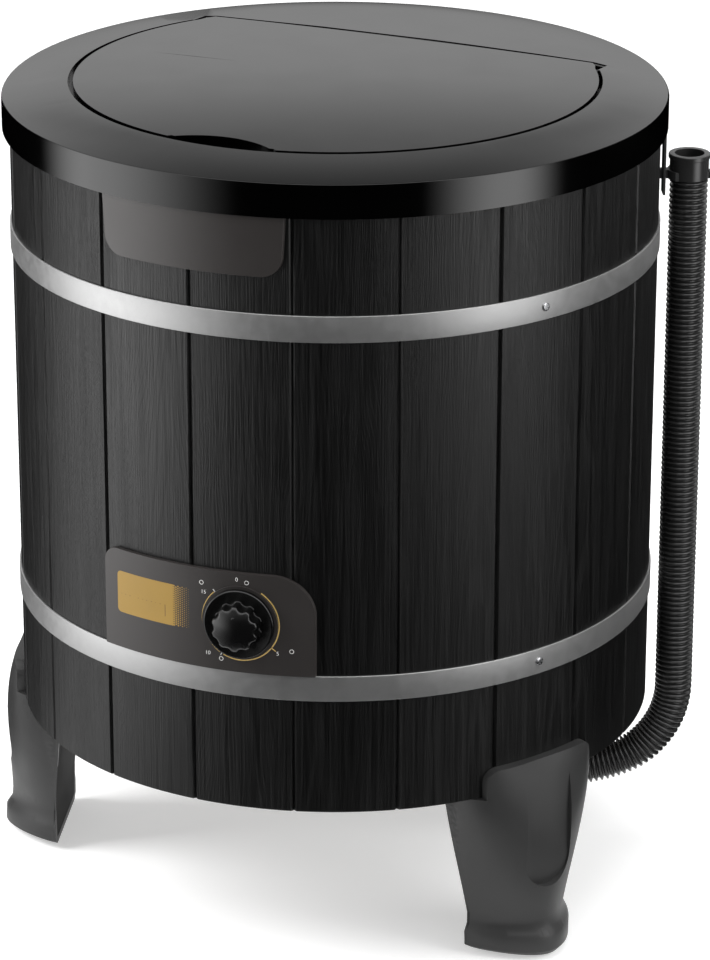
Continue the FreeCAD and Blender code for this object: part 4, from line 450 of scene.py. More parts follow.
def hoop(name, middle):
    """A flat strap with eased edges, turned round the barrel."""
    inner = BARREL_RADIUS + HOOP_CLEARANCE
    outer = inner + HOOP_THICKNESS
    low, high = middle - HOOP_HALF_WIDTH, middle + HOOP_HALF_WIDTH
    corners = [(outer, low), (outer, high), (inner, high), (inner, low)]
    profile = closed(rounded(corners, [HOOP_EDGE, HOOP_EDGE, 0, 0], 4))
    piece(name + "_strap", [revolved(profile, 240)], GALVANISED, [name])


staves()
for hoop_name, hoop_middle in HOOPS.items():
    hoop(hoop_name, hoop_middle)


# Copies of CAD meshes with eased edges

FLAT_LIMIT = math.radians(0.5)
EDGE_LIMIT = 35.0


def true_normals(mesh, field, limit):
    """Where a face lies along a known surface, gives its corners that surface's own normals."""
    spots, flat = np.zeros(len(mesh.vertices) * 3), np.zeros(len(mesh.polygons) * 3)
    normals = np.zeros(len(mesh.loops) * 3)
    corners, sides = np.zeros(len(mesh.loops), np.int32), np.zeros(len(mesh.polygons), np.int32)
    mesh.vertices.foreach_get("co", spots)
    mesh.polygons.foreach_get("normal", flat)
    mesh.corner_normals.foreach_get("vector", normals)
    mesh.loops.foreach_get("vertex_index", corners)
    mesh.polygons.foreach_get("loop_total", sides)
    normals = normals.reshape(-1, 3)
    wanted = field(spots.reshape(-1, 3)[corners] / MM)
    near = (wanted * np.repeat(flat.reshape(-1, 3), sides, 0)).sum(1) > math.cos(math.radians(limit))
    normals[near] = wanted[near]
    mesh.normals_split_custom_set(normals)


def eased(node, material, body="machine", width=0.6, steps=2, field=None, limit=14.0, fitted=None):
    """A copy of a CAD node's mesh, merged, with its edges rounded over and, along a known surface, true
    normals. fitted moves its points a little first."""
    mesh = frame["nodes"][node].data.copy()
    mesh.materials.clear()
    shape = bmesh.new()
    shape.from_mesh(mesh)
    bmesh.ops.remove_doubles(shape, verts=shape.verts, dist=1e-6)
    bmesh.ops.dissolve_limit(shape, angle_limit=FLAT_LIMIT, verts=shape.verts, edges=shape.edges)
    shape.to_mesh(mesh)
    shape.free()
    if fitted:
        spots = np.zeros(len(mesh.vertices) * 3)
        mesh.vertices.foreach_get("co", spots)
        mesh.vertices.foreach_set("co", (fitted(spots.reshape(-1, 3) / MM) * MM).ravel())
        mesh.update()
    made = dress(bpy.data.objects.new(node + "_eased", mesh), material, body, EDGE_LIMIT, [node])
    if width:
        bevel = made.modifiers.new("ease", "BEVEL")
        bevel.width = width * MM
        bevel.segments = steps
        bevel.limit_method = "ANGLE"
        bevel.angle_limit = math.radians(EDGE_LIMIT)
        bevel.harden_normals = True
    if field:
        baked = bpy.data.meshes.new_from_object(made.evaluated_get(bpy.context.evaluated_depsgraph_get()))
        made.modifiers.clear()
        made.data = baked
        true_normals(baked, field, limit)
    mesh.name = made.data.name = node + "_eased"
    return made


def barrel_normals(spots):
    """Normals of anything that is round about the barrel's axis."""
    return unit(spots * [1.0, 1.0, 0.0])


# Top: rim, lid and the strip in the hinge's gap

CROWN_TOP = 737.0
CROWN_RADIUS = 6600.0
OPENING_RADIUS = 233.0
EDGE_RADIUS, EDGE_HEIGHT = 287.0, 721.0
DECK_FALL, DECK_RUN = 7.9, 54.0
EDGE_LEAN_START, EDGE_LEAN_RUN = 41.0, 7.0
EDGE_LEAN_END = 81.7
LID_EDGE_REACH = 226.0
LID_HINGE_FRONT = 125.0
SEAM_DRAW, SEAM_SWING = 2.6, 1.4
ON_CROWN = 0.05
STRIP_HALF_LENGTH = 199.0
STRIP_SECTION = [(141.4, 1.0), (140.1, 2.3), (141.4, 2.3)]
TAB_ENDS = (198.6, 206.0)
TAB_SECTION = [(118.4, 0.02), (142.6, 0.02), (142.6, 3.0), (118.4, 3.0)]


def top_height(x, y):
    """Height of the top over a place: the crown, and past the lid's opening the sloping deck."""
    reach = np.hypot(x, y)
    crown = CROWN_TOP - CROWN_RADIUS + np.sqrt(CROWN_RADIUS**2 - np.minimum(reach, OPENING_RADIUS) ** 2)
    return crown - np.clip(reach - OPENING_RADIUS, 0.0, None) * DECK_FALL / DECK_RUN


def crown_normals(spots):
    """Normals of the lid's crown, a very large ball."""
    return unit(spots - [0.0, 0.0, CROWN_TOP - CROWN_RADIUS])


def rim_normals(spots):
    """Normals of the rim: the crown behind the lid, the sloping deck, the rounded edge and the upright
    skirt. The edge's turn from upright to the deck's slope is drawn together into a few degrees, for a
    crisp line."""
    reach, height = np.hypot(spots[:, 0], spots[:, 1]), spots[:, 2]
    zones = [reach < OPENING_RADIUS + 0.1, reach < EDGE_RADIUS + 0.01, height > EDGE_HEIGHT]
    lean = np.degrees(np.arctan2(height - EDGE_HEIGHT, reach - EDGE_RADIUS))
    lean = np.radians(np.clip((lean - EDGE_LEAN_START) / EDGE_LEAN_RUN, 0.0, 1.0) * EDGE_LEAN_END)
    out = np.select(zones, [reach, DECK_FALL, np.cos(lean)], 1.0)
    up = np.select(zones, [height - CROWN_TOP + CROWN_RADIUS, DECK_RUN, np.sin(lean)], 0.0)
    return unit(np.stack([spots[:, 0] / reach * out, spots[:, 1] / reach * out, up], -1))


def drawn_in(spots):
    """The lid's outer edge moved towards its middle, by 2 mm at the hinge and 4 mm at the front, which
    opens the seam round it; points of the crown stay on the crown."""
    x, y, z = spots.T
    reach = np.hypot(x, y)
    edge = (reach > LID_EDGE_REACH) & (y < LID_HINGE_FRONT)
    share = 1.0 - (SEAM_DRAW - SEAM_SWING * y / reach) * edge / reach
    rise = top_height(x * share, y * share) - top_height(x, y)
    crown = np.abs(top_height(x, y) - z) < ON_CROWN
    return np.stack([x * share, y * share, z + np.where(crown, rise, 0.0)], -1)


def hinge_strip():
    """A narrow wedge under the deck's straight edge, which catches the light inside the hinge's gap, and a
    tab that fills each end of the gap: flat sections drawn along the edge and held at a depth under the
    top."""

    def bar(ends, count, section):
        x = np.linspace(*ends, count)[:, None]
        y, depth = closed(np.array(section)).T
        z = top_height(x, y) - depth
        return np.stack([np.broadcast_to(x, z.shape), np.broadcast_to(y, z.shape), z], -1)

    start, end = TAB_ENDS
    bars = [bar((-STRIP_HALF_LENGTH, STRIP_HALF_LENGTH), 60, STRIP_SECTION)]
    bars += [bar(ends, 4, TAB_SECTION) for ends in ((-end, -start), (start, end))]
    caps = [row[:-1] for grid in bars for row in (grid[0], grid[-1])]
    piece("hinge_strip", bars, POLISHED_ABS, caps=caps, sharp=30.0)


eased("top_rim", POLISHED_ABS, width=1.2, steps=1, field=rim_normals, limit=60.0)
eased("lid", POLISHED_ABS, "lid", width=1.6, steps=1, field=crown_normals, limit=30.0, fitted=drawn_in)
hinge_strip()


# Badge plate and control panel

eased("badge_plate", PANEL_FILM, field=barrel_normals)
eased("control_panel", PANEL_FILM, field=barrel_normals)


# Legs: height, inner reach, half width there, half width and reach of the shoulders, outer reach

LEG_ROWS = np.array(
    [
        (3.0, 254.0, 48.0, 35.0, 278.5, 306.3),
        (8.0, 254.0, 55.5, 40.4, 282.8, 310.2),
        (21.0, 254.0, 56.0, 40.8, 282.7, 309.5),
        (29.0, 254.0, 53.0, 38.4, 278.2, 304.0),
        (38.0, 253.7, 52.7, 38.2, 277.6, 303.3),
        (97.0, 249.0, 63.4, 53.1, 279.3, 305.4),
        (150.0, 244.0, 71.5, 58.4, 285.2, 302.6),
        (190.0, 242.0, 75.0, 57.5, 285.0, 291.0),
    ]
)
LEG_NECK = 4
LEG_HALF_WIDTH = 72.0
LEG_ANGLES = {"leg_left": -71.0, "leg_right": 63.5, "leg_rear": 176.0}
COVER_BOTTOM, COVER_TOP = 9.5, 151.5
COVER_INSET = 0.6
COVER_FRONT, COVER_BACK = 0.2, 2.2


def smooth_curve(knots, values, at):
    """A smooth curve through values at the knots: cubics that share their slope where they meet."""
    slopes = np.gradient(values, knots, axis=0, edge_order=2)
    left = np.clip(np.searchsorted(knots, at) - 1, 0, len(knots) - 2)
    step = (knots[left + 1] - knots[left])[:, None]
    share = (at - knots[left])[:, None] / step
    back = 1 - share
    ends = values[left] * (1 + 2 * share) * back**2 + values[left + 1] * (3 - 2 * share) * share**2
    return ends + step * share * back * (slopes[left] * back - slopes[left + 1] * share)


def leg_normals(angle):
    """Normals of a leg's outside, from its reach as a function of the place across and the height: at each
    height a smooth curve from root to root round the front, smooth up the shank and straight between the
    collar's rows."""
    levels = LEG_ROWS[:, 0]
    heights = np.arange(levels[0], levels[-1] + 1.0)
    across = np.arange(-LEG_HALF_WIDTH, LEG_HALF_WIDTH + 1.0)
    collar = np.stack([np.interp(heights, levels, row) for row in LEG_ROWS[:, 1:].T], -1)
    shank = smooth_curve(levels[LEG_NECK:], LEG_ROWS[LEG_NECK:, 1:], heights)
    rows = np.where((heights < levels[LEG_NECK])[:, None], collar, shank)
    reach = []
    for inner, root, shoulder, bend, outer in rows:
        points = np.array([(-root, inner), (-shoulder, bend), (0, outer), (shoulder, bend), (root, inner)])
        way = np.concatenate([[0.0], np.cumsum(np.linalg.norm(np.diff(points, axis=0), axis=1))])
        curve = smooth_curve(way, points, np.linspace(0.0, way[-1], 121))
        reach.append(np.interp(across, curve[:, 0], curve[:, 1]))
    up, side = np.gradient(np.array(reach), heights, across)

    def field(spots):
        local = turned(spots, -angle)
        row = np.clip(np.rint(local[:, 2] - heights[0]), 0, len(heights) - 1).astype(int)
        column = np.clip(np.rint(local[:, 0] - across[0]), 0, len(across) - 1).astype(int)
        made = np.stack([-side[row, column], np.full(len(row), -1.0), -up[row, column]], -1)
        return turned(unit(made), angle)

    return field


def leg_back(leg, angle):
    """The cover that closes a leg's hollow, in plastic coloured darker than the leg's as painted shade: a
    flat strip whose half width and reach follow the leg's inner edge."""
    heights = np.linspace(COVER_BOTTOM, COVER_TOP, 30)
    inner = np.interp(heights, LEG_ROWS[:, 0], LEG_ROWS[:, 1])
    half = np.interp(heights, LEG_ROWS[:, 0], LEG_ROWS[:, 2]) - COVER_INSET
    section = [(-1.0, COVER_FRONT), (1.0, COVER_FRONT), (1.0, COVER_BACK), (-1.0, COVER_BACK)]
    ring = closed(np.array(section))
    across, reach = np.outer(half, ring[:, 0]), inner[:, None] + ring[:, 1]
    grid = turned(np.stack([across, -reach, np.outer(heights, np.ones(len(ring)))], -1), angle)
    # The cover's darker plastic is painted shade: the closed back stands in for a hollow in shadow
    piece(leg + "_cover", [grid], ROUGH_SHADE_PLASTIC, caps=[grid[0, :-1], grid[-1, :-1]], sharp=30.0)


for leg_name, leg_angle in LEG_ANGLES.items():
    eased(leg_name, ETCHED_PLASTIC, width=2.0, steps=3, field=leg_normals(leg_angle), limit=22.0)
    leg_back(leg_name, leg_angle)


# Drain hose: a ribbed tube along the stored route, from the cuff under the rim to the pipe under the base

HOSE_ANGLE = 117.0
HOSE_RADIUS = 17.0
HOSE_VALLEY = 14.0
HOSE_BORE = 13.0
HOSE_PITCH = 4.85
HOSE_ROUTE = [(312.0, 639.0), (312.0, 435.0), (312.0, 188.7), (312.0, 118.0), (262.0, 68.0), (194.0, 68.0)]
RIB_STEPS = 8
RIB_SQUARENESS = 2.2
BORE_ROWS = 120
HOSE_SIDES = 40
CUFF_LIP = 650.0
CUFF_DROP = 4.6


def lowered(spots):
    """The cuff's lip a little lower, as in the photograph."""
    x, y, z = spots.T
    return np.stack([x, y, np.where(z > CUFF_LIP, z - CUFF_DROP, z)], -1)


def hose_path():
    """The route's smooth line as points close together: a spline drawn by its corner points."""
    data = bpy.data.curves.new("hose_line", "CURVE")
    data.dimensions = "3D"
    data.resolution_u = 48
    route = data.splines.new("NURBS")
    route.points.add(len(HOSE_ROUTE) - 1)
    for point, (reach, height) in zip(route.points, HOSE_ROUTE):
        point.co = (*place(HOSE_ANGLE, reach, height), 1.0)
    route.order_u = 3
    route.use_endpoint_u = True
    line = bpy.data.objects.new("hose_line", data)
    mesh = bpy.data.meshes.new_from_object(line)
    points = np.zeros(len(mesh.vertices) * 3)
    mesh.vertices.foreach_get("co", points)
    bpy.data.objects.remove(line)
    return points.reshape(-1, 3) / MM


def drain_hose(cuff):
    """A tube whose radius rises and falls once each rib: radius = valley + height * soft square wave of the
    way along; the bore runs back inside it, so that the wall is closed at both ends."""
    path = hose_path()
    steps = np.linalg.norm(np.diff(path, axis=0), axis=1)
    way = np.concatenate([[0.0], np.cumsum(steps)])
    length = way[-1]
    ribs = round(length / HOSE_PITCH)
    outer = np.linspace(0.0, length, ribs * RIB_STEPS + 1)
    wave = np.tanh(RIB_SQUARENESS * np.cos(2 * np.pi * ribs * outer / length)) / math.tanh(RIB_SQUARENESS)
    radius = HOSE_VALLEY + (HOSE_RADIUS - HOSE_VALLEY) * (0.5 - 0.5 * wave)
    inner = np.linspace(length, 0.0, BORE_ROWS)
    along = np.concatenate([outer, inner, outer[:1]])
    radius = np.concatenate([radius, np.full_like(inner, HOSE_BORE), radius[:1]])
    line = np.stack([np.interp(along, way, path[:, i]) for i in range(3)], -1)
    ahead = np.stack([np.gradient(path[:, i], way) for i in range(3)], -1)
    ahead = unit(np.stack([np.interp(along, way, ahead[:, i]) for i in range(3)], -1))
    side = np.broadcast_to(turned(np.array([1.0, 0.0, 0.0]), HOSE_ANGLE), ahead.shape)
    up = np.cross(ahead, side)
    turn = np.linspace(0.0, 2 * np.pi, HOSE_SIDES + 1)[None, :, None]
    ring = side[:, None] * np.cos(turn) + up[:, None] * np.sin(turn)
    wall = line[:, None] + radius[:, None, None] * ring
    made = piece("drain_hose_ribbed", [wall], BLOWN_HOSE, ["drain_hose"], sharp=75.0)


drain_hose(eased("hose_cuff", BLOWN_HOSE, fitted=lowered))
eased("hose_hook", ETCHED_PLASTIC)


# Timer knob

KNOB_ANGLE = 9.0
KNOB_HEIGHT = 334.0
KNOB_BACK = 289.9
KNOB_TOP = 21.0
KNOB_DOME = 76.0
GRIP_RADIUS = 20.5
SCALLOPS = 10
SCALLOP_REACH = 23.4
SCALLOP_RADIUS = 5.5
SKIRT_RADIUS = 31.0
SKIRT_EDGE = 4.5
DISH_RADIUS, DISH_HEIGHT = 21.5, 2.6
SKIRT_CORNERS = [0, 0.3, 1.5, 0]
# The way out from the grip's radius and the height at its foot, and the way in and down at its top edge
GRIP_FOOT = [(0.6, 2.7), (0.15, 3.0), (0.0, 3.6), (0.0, 9.0)]
GRIP_SHOULDER = [(0.0, 1.1), (0.1, 0.6), (0.4, 0.2)]
GRIP_INSET = 1.0
DOT_REACH = 11.5
DOT_RADIUS = 1.3
DOT_RISE = 0.8
DOT_ROOT = 0.3


def knob():
    """Grip and skirt about one axis. The grip's radius is its own, or the near side of a scallop's circle
    where one bites, softened along the ridges; its top is a dome, top - radius squared / dome, and the
    skirt is a turned dish. A small dome on the grip is the pointer."""

    def dome(radius):
        return KNOB_TOP - radius**2 / KNOB_DOME

    turn = np.linspace(0.0, 2 * np.pi, 720, endpoint=False)
    pitch = 2 * np.pi / SCALLOPS
    off = SCALLOP_REACH * np.sin(np.abs(turn % pitch - pitch / 2))
    bite = np.sqrt(SCALLOP_REACH**2 - off**2) - np.sqrt(np.clip(SCALLOP_RADIUS**2 - off**2, 0.0, None))
    grip = np.where(off < SCALLOP_RADIUS, np.minimum(bite, GRIP_RADIUS), GRIP_RADIUS)
    grip = np.mean([np.roll(grip, shift) for shift in range(-4, 5)], axis=0)
    flat = np.ones_like(turn)
    corners = [(0.0, 0.0), (SKIRT_RADIUS, 0.0), (SKIRT_RADIUS, SKIRT_EDGE), (DISH_RADIUS, DISH_HEIGHT)]
    rows = [(radius * flat, height) for radius, height in rounded(corners, SKIRT_CORNERS, 6)]
    rows += [(grip + out, height) for out, height in GRIP_FOOT]
    rows += [(grip - inset, dome(grip) - drop) for inset, drop in GRIP_SHOULDER]
    top = grip - GRIP_INSET
    rows += [(top * share, dome(top * share)) for share in np.linspace(1.0, 0.0, 12)]
    radius = np.array([row for row, _ in rows])
    height = np.array([row * flat for _, row in rows])
    grid = np.stack([radius * np.sin(turn), radius * np.cos(turn), height], -1)
    bend = np.linspace(0.0, np.pi / 2, 7)
    ring = np.linspace(0.0, 2 * np.pi, 25)
    across, rise = DOT_RADIUS * np.cos(bend), dome(DOT_REACH) - DOT_ROOT + DOT_RISE * np.sin(bend)
    x, y = np.outer(across, np.sin(ring)), DOT_REACH + np.outer(across, np.cos(ring))
    dot = np.stack([x, y, np.outer(rise, np.ones_like(ring))], -1)
    grids = [np.concatenate([grid, grid[:, :1]], 1), dot]
    grids = [facing_out(points, KNOB_ANGLE, KNOB_BACK, KNOB_HEIGHT) for points in grids]
    piece("timer_knob_grip", grids, SATIN_ABS, ["timer_knob"], "timer_knob", sharp=50.0)


knob()


# Print on the control panel

PLATE_RADIUS = 288.5
INK = 0.06
FIELD_LEFT, FIELD_RIGHT = -75.5, -16.6
FIELD_LOW, FIELD_HIGH = 321.3, 359.3
FIELD_CORNER = 4.0
FIELD_MARGIN = 0.5
DOT_PITCH = 2.0
DOT_COLUMNS, DOT_ROWS = 8, 19
FIRST_DOT, FIRST_DOT_RADIUS = 0.9, 0.95
DOT_SHRINK = 0.1
RULE_HEIGHT, RULE_END, RULE_FOOT = 338.8, -24.7, 328.3
RULE_WIDTH = 0.6
ARC_RADIUS = 34.2
ARCS = [(33.0, 126.0, 1.1), (128.0, 206.0, 1.1), (212.0, 318.0, 0.8)]
ARC_STEP, ARC_STEP_REACH, ARC_STEP_WIDTH = 127.0, (34.0, 39.0), 0.8
TICKS, TICK_REACH, TICK_WIDTH = (209.0, 319.0), (33.7, 36.5), 0.6
RINGS = [(9.4, 37.5), (117.0, 50.2), (206.0, 39.0), (313.0, 47.3)]
RING_RADII = (1.5, 2.0)
NUMBERS = [("0", -4.0, 39.0), ("5", 128.0, 41.5), ("10", 223.0, 43.0), ("15", 306.0, 40.5)]
NUMBER_SIZE = 5.0


def on_plate(across, height):
    """Points of a print on the panel: across in millimetres along its face from the front centre, and
    height."""
    turn = np.asarray(across, float) / PLATE_RADIUS
    reach = PLATE_RADIUS + INK
    return np.stack([reach * np.sin(turn), -reach * np.cos(turn), np.asarray(height, float)], -1)


def stroke(start, end, width):
    """A straight ink line on the panel from one place to another."""
    start, end = np.array(start), np.array(end)
    along = (end - start) / np.linalg.norm(end - start)
    side = np.array([-along[1], along[0]]) * width / 2
    way = start + np.linspace(0.0, 1.0, 12)[:, None] * (end - start)
    grid = np.stack([way - side, way + side], 1)
    return on_plate(grid[..., 0], grid[..., 1])


def blot(across, height, inner, outer, sides=16):
    """A dot or a ring of ink on the panel."""
    turn = np.linspace(0.0, 2 * np.pi, sides + 1)
    radius = np.array([[inner], [outer]])
    return on_plate(across + radius * np.sin(turn), height + radius * np.cos(turn))


def dial_place(clock, reach):
    """A place round the knob, by degrees clockwise from the top and the distance from its axis."""
    turn = math.radians(clock)
    middle = PLATE_RADIUS * math.radians(KNOB_ANGLE)
    return middle + reach * math.sin(turn), KNOB_HEIGHT + reach * math.cos(turn)


def dial_arc(start, end, width):
    """An arc of gold round the knob, just outside the pad behind it."""
    turn = np.radians(np.linspace(start, end, 60))[:, None]
    radius = np.array([[ARC_RADIUS - width / 2, ARC_RADIUS + width / 2]])
    middle, height = dial_place(0.0, 0.0)
    return on_plate(middle + radius * np.sin(turn), height + radius * np.cos(turn))


def number(text, clock, reach):
    """A printed number round the knob, its flat shape bent onto the panel."""
    data = bpy.data.curves.new("number", "FONT")
    data.body = text
    data.size = NUMBER_SIZE
    data.align_x, data.align_y = "CENTER", "CENTER"
    line = bpy.data.objects.new("number", data)
    mesh = bpy.data.meshes.new_from_object(line)
    bpy.data.objects.remove(line)
    spots = np.zeros(len(mesh.vertices) * 3)
    mesh.vertices.foreach_get("co", spots)
    across, height = (spots.reshape(-1, 3)[:, :2] + dial_place(clock, reach)).T
    mesh.vertices.foreach_set("co", (on_plate(across, height) * MM).ravel())
    mesh.materials.clear()
    dress(bpy.data.objects.new("dial_number_" + text, mesh), WHITE_INK, "machine", 30.0)


def gold_field():
    """A gold field with a rounded left side that breaks up into dots on its right, each column's dots
    smaller."""
    corner = FIELD_LEFT + FIELD_CORNER * (1 - np.cos(np.linspace(0, np.pi / 2, 9)))
    across = np.concatenate([corner, np.linspace(FIELD_LEFT + FIELD_CORNER, FIELD_RIGHT, 20)[1:]])
    short = np.clip(FIELD_CORNER - (across - FIELD_LEFT), 0.0, FIELD_CORNER)
    inset = FIELD_CORNER - np.sqrt(FIELD_CORNER**2 - short**2)
    edges = np.stack([FIELD_LOW + inset, FIELD_HIGH - inset], 1)
    gold = [on_plate(np.stack([across, across], 1), edges)]
    for column in range(DOT_COLUMNS):
        for row in range(DOT_ROWS):
            height = FIELD_LOW + DOT_PITCH * (row + 0.5) + DOT_PITCH / 2 * (column % 2)
            if height < FIELD_HIGH - FIELD_MARGIN:
                spot = FIELD_RIGHT + FIRST_DOT + DOT_PITCH * column
                gold.append(blot(spot, height, 0.0, FIRST_DOT_RADIUS - DOT_SHRINK * column, 10))
    piece("panel_gold", gold, GOLD_INK)


def print_on_panel():
    """The gold field, ruled once, and the dial's arcs, ticks, rings and plain numbers."""
    gold_field()
    arcs = [dial_arc(*arc) for arc in ARCS]
    arcs.append(stroke(*[dial_place(ARC_STEP, reach) for reach in ARC_STEP_REACH], ARC_STEP_WIDTH))
    # The arcs' paler gold is painted highlight on the gold ink
    piece("panel_arcs", arcs, HIGHLIGHT_GOLD_INK)
    level = stroke((FIELD_LEFT, RULE_HEIGHT), (RULE_END - RULE_WIDTH / 2, RULE_HEIGHT), RULE_WIDTH)
    upright = stroke((RULE_END, RULE_HEIGHT + RULE_WIDTH / 2), (RULE_END, RULE_FOOT), RULE_WIDTH)
    piece("panel_rule", [level, upright], BROWN_INK)
    white = [stroke(*[dial_place(clock, reach) for reach in TICK_REACH], TICK_WIDTH) for clock in TICKS]
    white += [blot(*dial_place(*spot), *RING_RADII, 24) for spot in RINGS]
    piece("panel_marks", white, WHITE_INK)
    for text, clock, reach in NUMBERS:
        number(text, clock, reach)


print_on_panel()


# Pieces that keep their CAD shape, by material

PLAIN = {
    "base_board": PLYWOOD,
    "hoop_screws": TURNED_STEEL,
    "leg_screws": TURNED_STEEL,
    "lid_hinge_rod": ENAMEL,
    "timer_shaft": TURNED_STEEL,
    "agitator_shaft": TURNED_STEEL,
    "motor_shaft": TURNED_STEEL,
    "pulley_nut": TURNED_STEEL,
    "motor_bolts": TURNED_STEEL,
    "hose_clamp": TURNED_STEEL,
    "capacitor_clip": TURNED_STEEL,
    "timer_body": ETCHED_PLASTIC,
    "cord_gland": ETCHED_PLASTIC,
    "drain_pipe": ETCHED_PLASTIC,
    "wash_tub": TUB_PLASTIC,
    "agitator": AGITATOR_PLASTIC,
    "agitator_cap": AGITATOR_PLASTIC,
    "shaft_seal": MOULDED_RUBBER,
    "foot_pads": MOULDED_RUBBER,
    "v_belt": MOULDED_RUBBER,
    "shaft_bushes": SINTERED_BRONZE,
    "bearing_housing": CAST_ALUMINIUM,
    "driven_pulley": CAST_ALUMINIUM,
    "motor_pulley": CAST_ALUMINIUM,
    "capacitor": CAST_ALUMINIUM,
    "motor_body": ENAMEL,
    "motor_bracket": ENAMEL,
}
BODIES = {node: body for body, nodes in frame["record"]["behaviour"]["bodies"].items() for node in nodes}
for plain_node, plain_material in PLAIN.items():
    eased(plain_node, plain_material, BODIES[plain_node], width=0.0)


# Studio: a pale floor, soft lamps and a ring of cards that only reflections show

FLOOR_RADIUS = 14.0
CARD_FAR = 8000.0
# Angles, or degrees above the horizon, at which each card begins, is full, begins to fade and ends
LEFT_BOX = (-86.0, -60.0, -52.0, -3.0)
RIGHT_BOX = (51.0, 78.0, 82.0, 103.0)
BACK_BOXES = [(110.0, 130.0, 140.0, 165.0), (-155.0, -140.0, -125.0, -100.0)]
BOXES_UP = (-1.0, 12.0, 35.0, 55.0)
BEHIND = -155.0
BRIGHT_BACK = (-80.0, -45.0, 45.0, 80.0)
DARK_BACK = (-16.0, -4.0, 4.0, 16.0)
DARK_BACK_UP = (15.5, 21.0, 60.0, 75.0)
CEILING = (32.0, 46.0, 98.0, 99.0)
CEILING_BEHIND = (50.0, 64.0, 98.0, 99.0)
LEFT_STRENGTH, RIGHT_STRENGTH, CEILING_STRENGTH = 3.1, 3.4, 2.2
LEFT_UP_SHARE = 0.5
SIDE_SHARE = 0.3
DARK_SHARE = 0.58


def floor():
    """A flat disc under the machine, white to the eye, that keeps the shadow and glows a little more far
    out, where less lamp light falls."""
    made, tree = new_material("white paper floor")
    far = add(tree, "VectorMath", {0: add(tree, "TexCoord")["Object"]}, operation="LENGTH")["Value"]
    ends = {"From Min": 0.8, "From Max": 4.0, "To Min": 0.45, "To Max": 0.62}
    glow = add(tree, "MapRange", {"Value": far, **ends}, **SMOOTH)["Result"]
    ray = add(tree, "LightPath")
    bounced = add(tree, "Math", {0: ray["Is Glossy Ray"], 1: ray["Is Transmission Ray"]}, operation="ADD")[0]
    seen = add(tree, "Math", {0: ray["Is Camera Ray"], 1: bounced}, operation="ADD")[0]
    strength = add(tree, "Math", {0: seen, 1: glow}, operation="MULTIPLY")[0]
    paper = {"Base Color": linear("#e7e7e7"), "Roughness": 1.0, "Specular IOR Level": 0.0}
    light = {"Emission Color": linear("#ffffff"), "Emission Strength": strength}
    add(tree, "OutputMaterial", {"Surface": add(tree, "BsdfPrincipled", {**paper, **light})["BSDF"]})
    bpy.ops.mesh.primitive_circle_add(vertices=128, radius=FLOOR_RADIUS, fill_type="NGON")
    disc = bpy.context.object
    disc.name = "studio_floor"
    disc.data.materials.append(made)


def swell(value, rise, top, fall, end):
    """0 before rise, 1 from top to fall and 0 after end, with smooth flanks."""
    up = np.clip((value - rise) / (top - rise), 0.0, 1.0)
    down = np.clip((end - value) / (end - fall), 0.0, 1.0)
    return (up * up * (3 - 2 * up)) * (down * down * (3 - 2 * down))


def low_cards(turn, left, right):
    """Rows of reach and height of the low ring, and its brightness there: a tall soft box on the left, a
    raised one on the right and two high ones at the back, with black between them."""
    near, mid, wide, wall = 400.0, 1000.0, 1400.0, 1600.0
    rows = [(near, 3.0), (mid, 3.0), (wide, 3.0)]
    rows += [(wall, height) for height in (3.0, 110.0, 230.0, 350.0, 480.0, 600.0)] + [(4000.0, 600.0)]
    tall = np.array([0.25, 0.5, 0.85, 1.0, 1.0, 1.0, 1.0, 0.92, 0.6, 0.0])
    raised = np.array([0.0, 0.03, 0.05, 0.15, 0.6, 1.0, 1.0, 0.92, 0.6, 0.0])
    high = np.array([0.0, 0.0, 0.0, 0.0, 0.0, 0.0, 0.0, 1.0, 1.0, 0.0])
    back = sum(swell(turn, *box) for box in BACK_BOXES)
    return rows, np.outer(tall, left) + np.outer(raised, right) + np.outer(high, back)


def far_wall(turn, left, right):
    """Rows of the far wall and its brightness there: dark at the horizon, bright above it, darker again
    behind the middle of the lid, with the side boxes carried up and a bright ceiling."""
    rise = [-0.9, 0.0, 2.5, 5.7, 9.5, 13.0, 16.0, 18.0, 20.5, 24.0, 29.0, 34.0, *np.arange(40.0, 77.0, 6.0)]
    rise = np.array(rise)
    levels = [-1.0, 0.0, 2.5, 5.7, 9.5, 13.0, 16.0, 24.0, 34.0, 60.0]
    glow = np.interp(rise, levels, [0.22, 0.3, 0.41, 0.57, 0.7, 0.83, 0.87, 0.95, 0.6, 0.35])
    aside = (turn - BEHIND + 180.0) % 360.0 - 180.0
    behind = swell(aside, *BRIGHT_BACK)
    dark = DARK_SHARE * np.outer(swell(rise, *DARK_BACK_UP), swell(aside, *DARK_BACK))
    boxes = np.outer(swell(rise, *BOXES_UP), LEFT_UP_SHARE * left + right)
    ceiling = np.outer(swell(rise, *CEILING), 1 - behind) + np.outer(swell(rise, *CEILING_BEHIND), behind)
    wall = (SIDE_SHARE + (1 - SIDE_SHARE) * behind) * glow[:, None]
    shade = wall * (1 - dark) + boxes + CEILING_STRENGTH * ceiling
    rows = [(CARD_FAR, CROWN_TOP + CARD_FAR * math.tan(math.radians(angle))) for angle in rise]
    rows.append((0.0, rows[-1][1]))
    return rows, np.concatenate([shade, shade[-1:]])


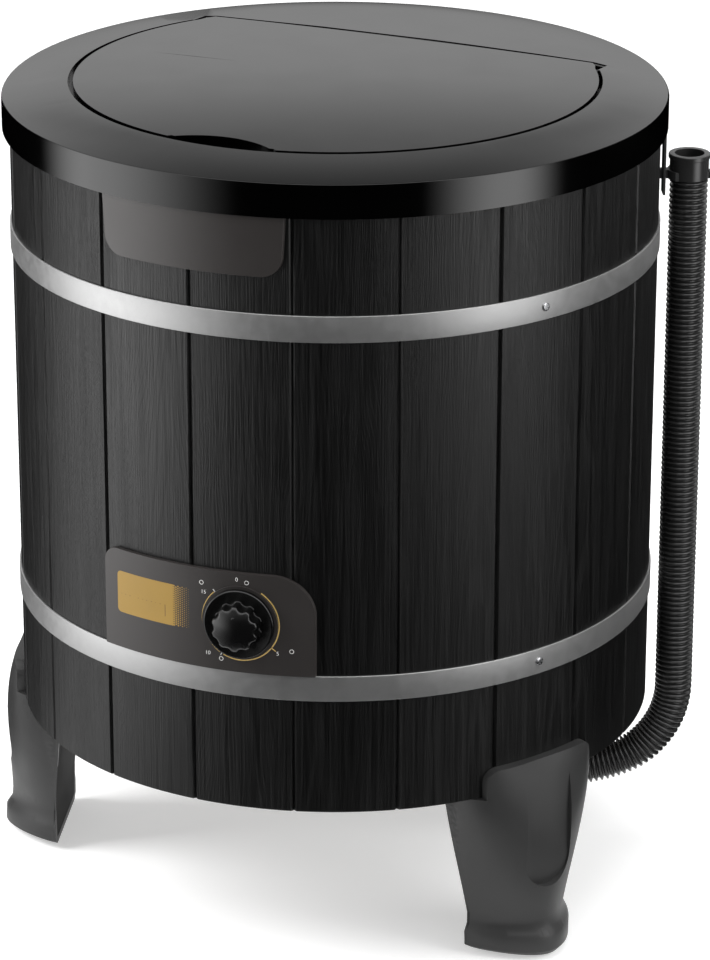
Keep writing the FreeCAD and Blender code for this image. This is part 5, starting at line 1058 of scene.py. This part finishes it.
def cards():
    """The low ring and the far wall as one turned surface whose brightness is written at its points."""
    turn = np.linspace(-180.0, 180.0, 361)
    left = LEFT_STRENGTH * swell(turn, *LEFT_BOX)
    right = RIGHT_STRENGTH * swell(turn, *RIGHT_BOX)
    low_rows, low_shade = low_cards(turn, left, right)
    far_rows, far_shade = far_wall(turn, left, right)
    grid = turned(revolved(np.array(low_rows + far_rows), 360), 180.0)
    made, tree = new_material("studio card paper")
    lit = add(tree, "Attribute", attribute_name="shade")["Fac"]
    add(tree, "OutputMaterial", {"Surface": add(tree, "Emission", {"Strength": lit})[0]})
    mesh = bpy.data.meshes.new("studio_cards")
    mesh.from_pydata(grid.reshape(-1, 3) * MM, [], grid_faces(grid))
    shade = np.concatenate([low_shade, far_shade])
    mesh.attributes.new("shade", "FLOAT", "POINT").data.foreach_set("value", shade.ravel())
    mesh.materials.append(made)
    ring = bpy.data.objects.new("studio_cards", mesh)
    for kind in ("camera", "diffuse", "transmission", "volume_scatter", "shadow"):
        setattr(ring, "visible_" + kind, False)
    bpy.context.scene.collection.objects.link(ring)


def lamp(name, spot, target, size, watts):
    """A square soft lamp aimed at a point."""
    data = bpy.data.lights.new(name, "AREA")
    data.size = size
    data.energy = watts
    made = bpy.data.objects.new(name, data)
    made.location = spot
    made.rotation_euler = (Vector(target) - Vector(spot)).to_track_quat("-Z", "Y").to_euler()
    made.visible_glossy = False
    bpy.context.scene.collection.objects.link(made)


def sky():
    """An even white world: full strength to the eye and in reflections, softer as light."""
    world = bpy.data.worlds.new("studio")
    world.use_nodes = True
    tree = world.node_tree
    tree.nodes.clear()
    ray = add(tree, "LightPath")
    bounced = add(tree, "Math", {0: ray["Is Glossy Ray"], 1: ray["Is Transmission Ray"]}, operation="ADD")[0]
    seen = add(tree, "Math", {0: ray["Is Camera Ray"], 1: bounced}, operation="ADD")[0]
    strength = add(tree, "MapRange", {"Value": seen, "To Min": 0.5, "To Max": 1.0}, **SMOOTH)["Result"]
    light = add(tree, "Background", {"Color": linear("#ffffff"), "Strength": strength})[0]
    add(tree, "OutputWorld", {"Surface": light})
    bpy.context.scene.world = world


MIDDLE = (0.0, 0.0, 0.4)
floor()
cards()
lamp("key", place(-60.0, 2600.0, 2200.0), MIDDLE, 1.6, 90.0)
lamp("fill", place(95.0, 2600.0, 1800.0), MIDDLE, 1.6, 45.0)
lamp("top", (0.0, 0.3, 3.0), MIDDLE, 1.8, 45.0)
sky()
bpy.context.scene.view_settings.view_transform = "Standard"
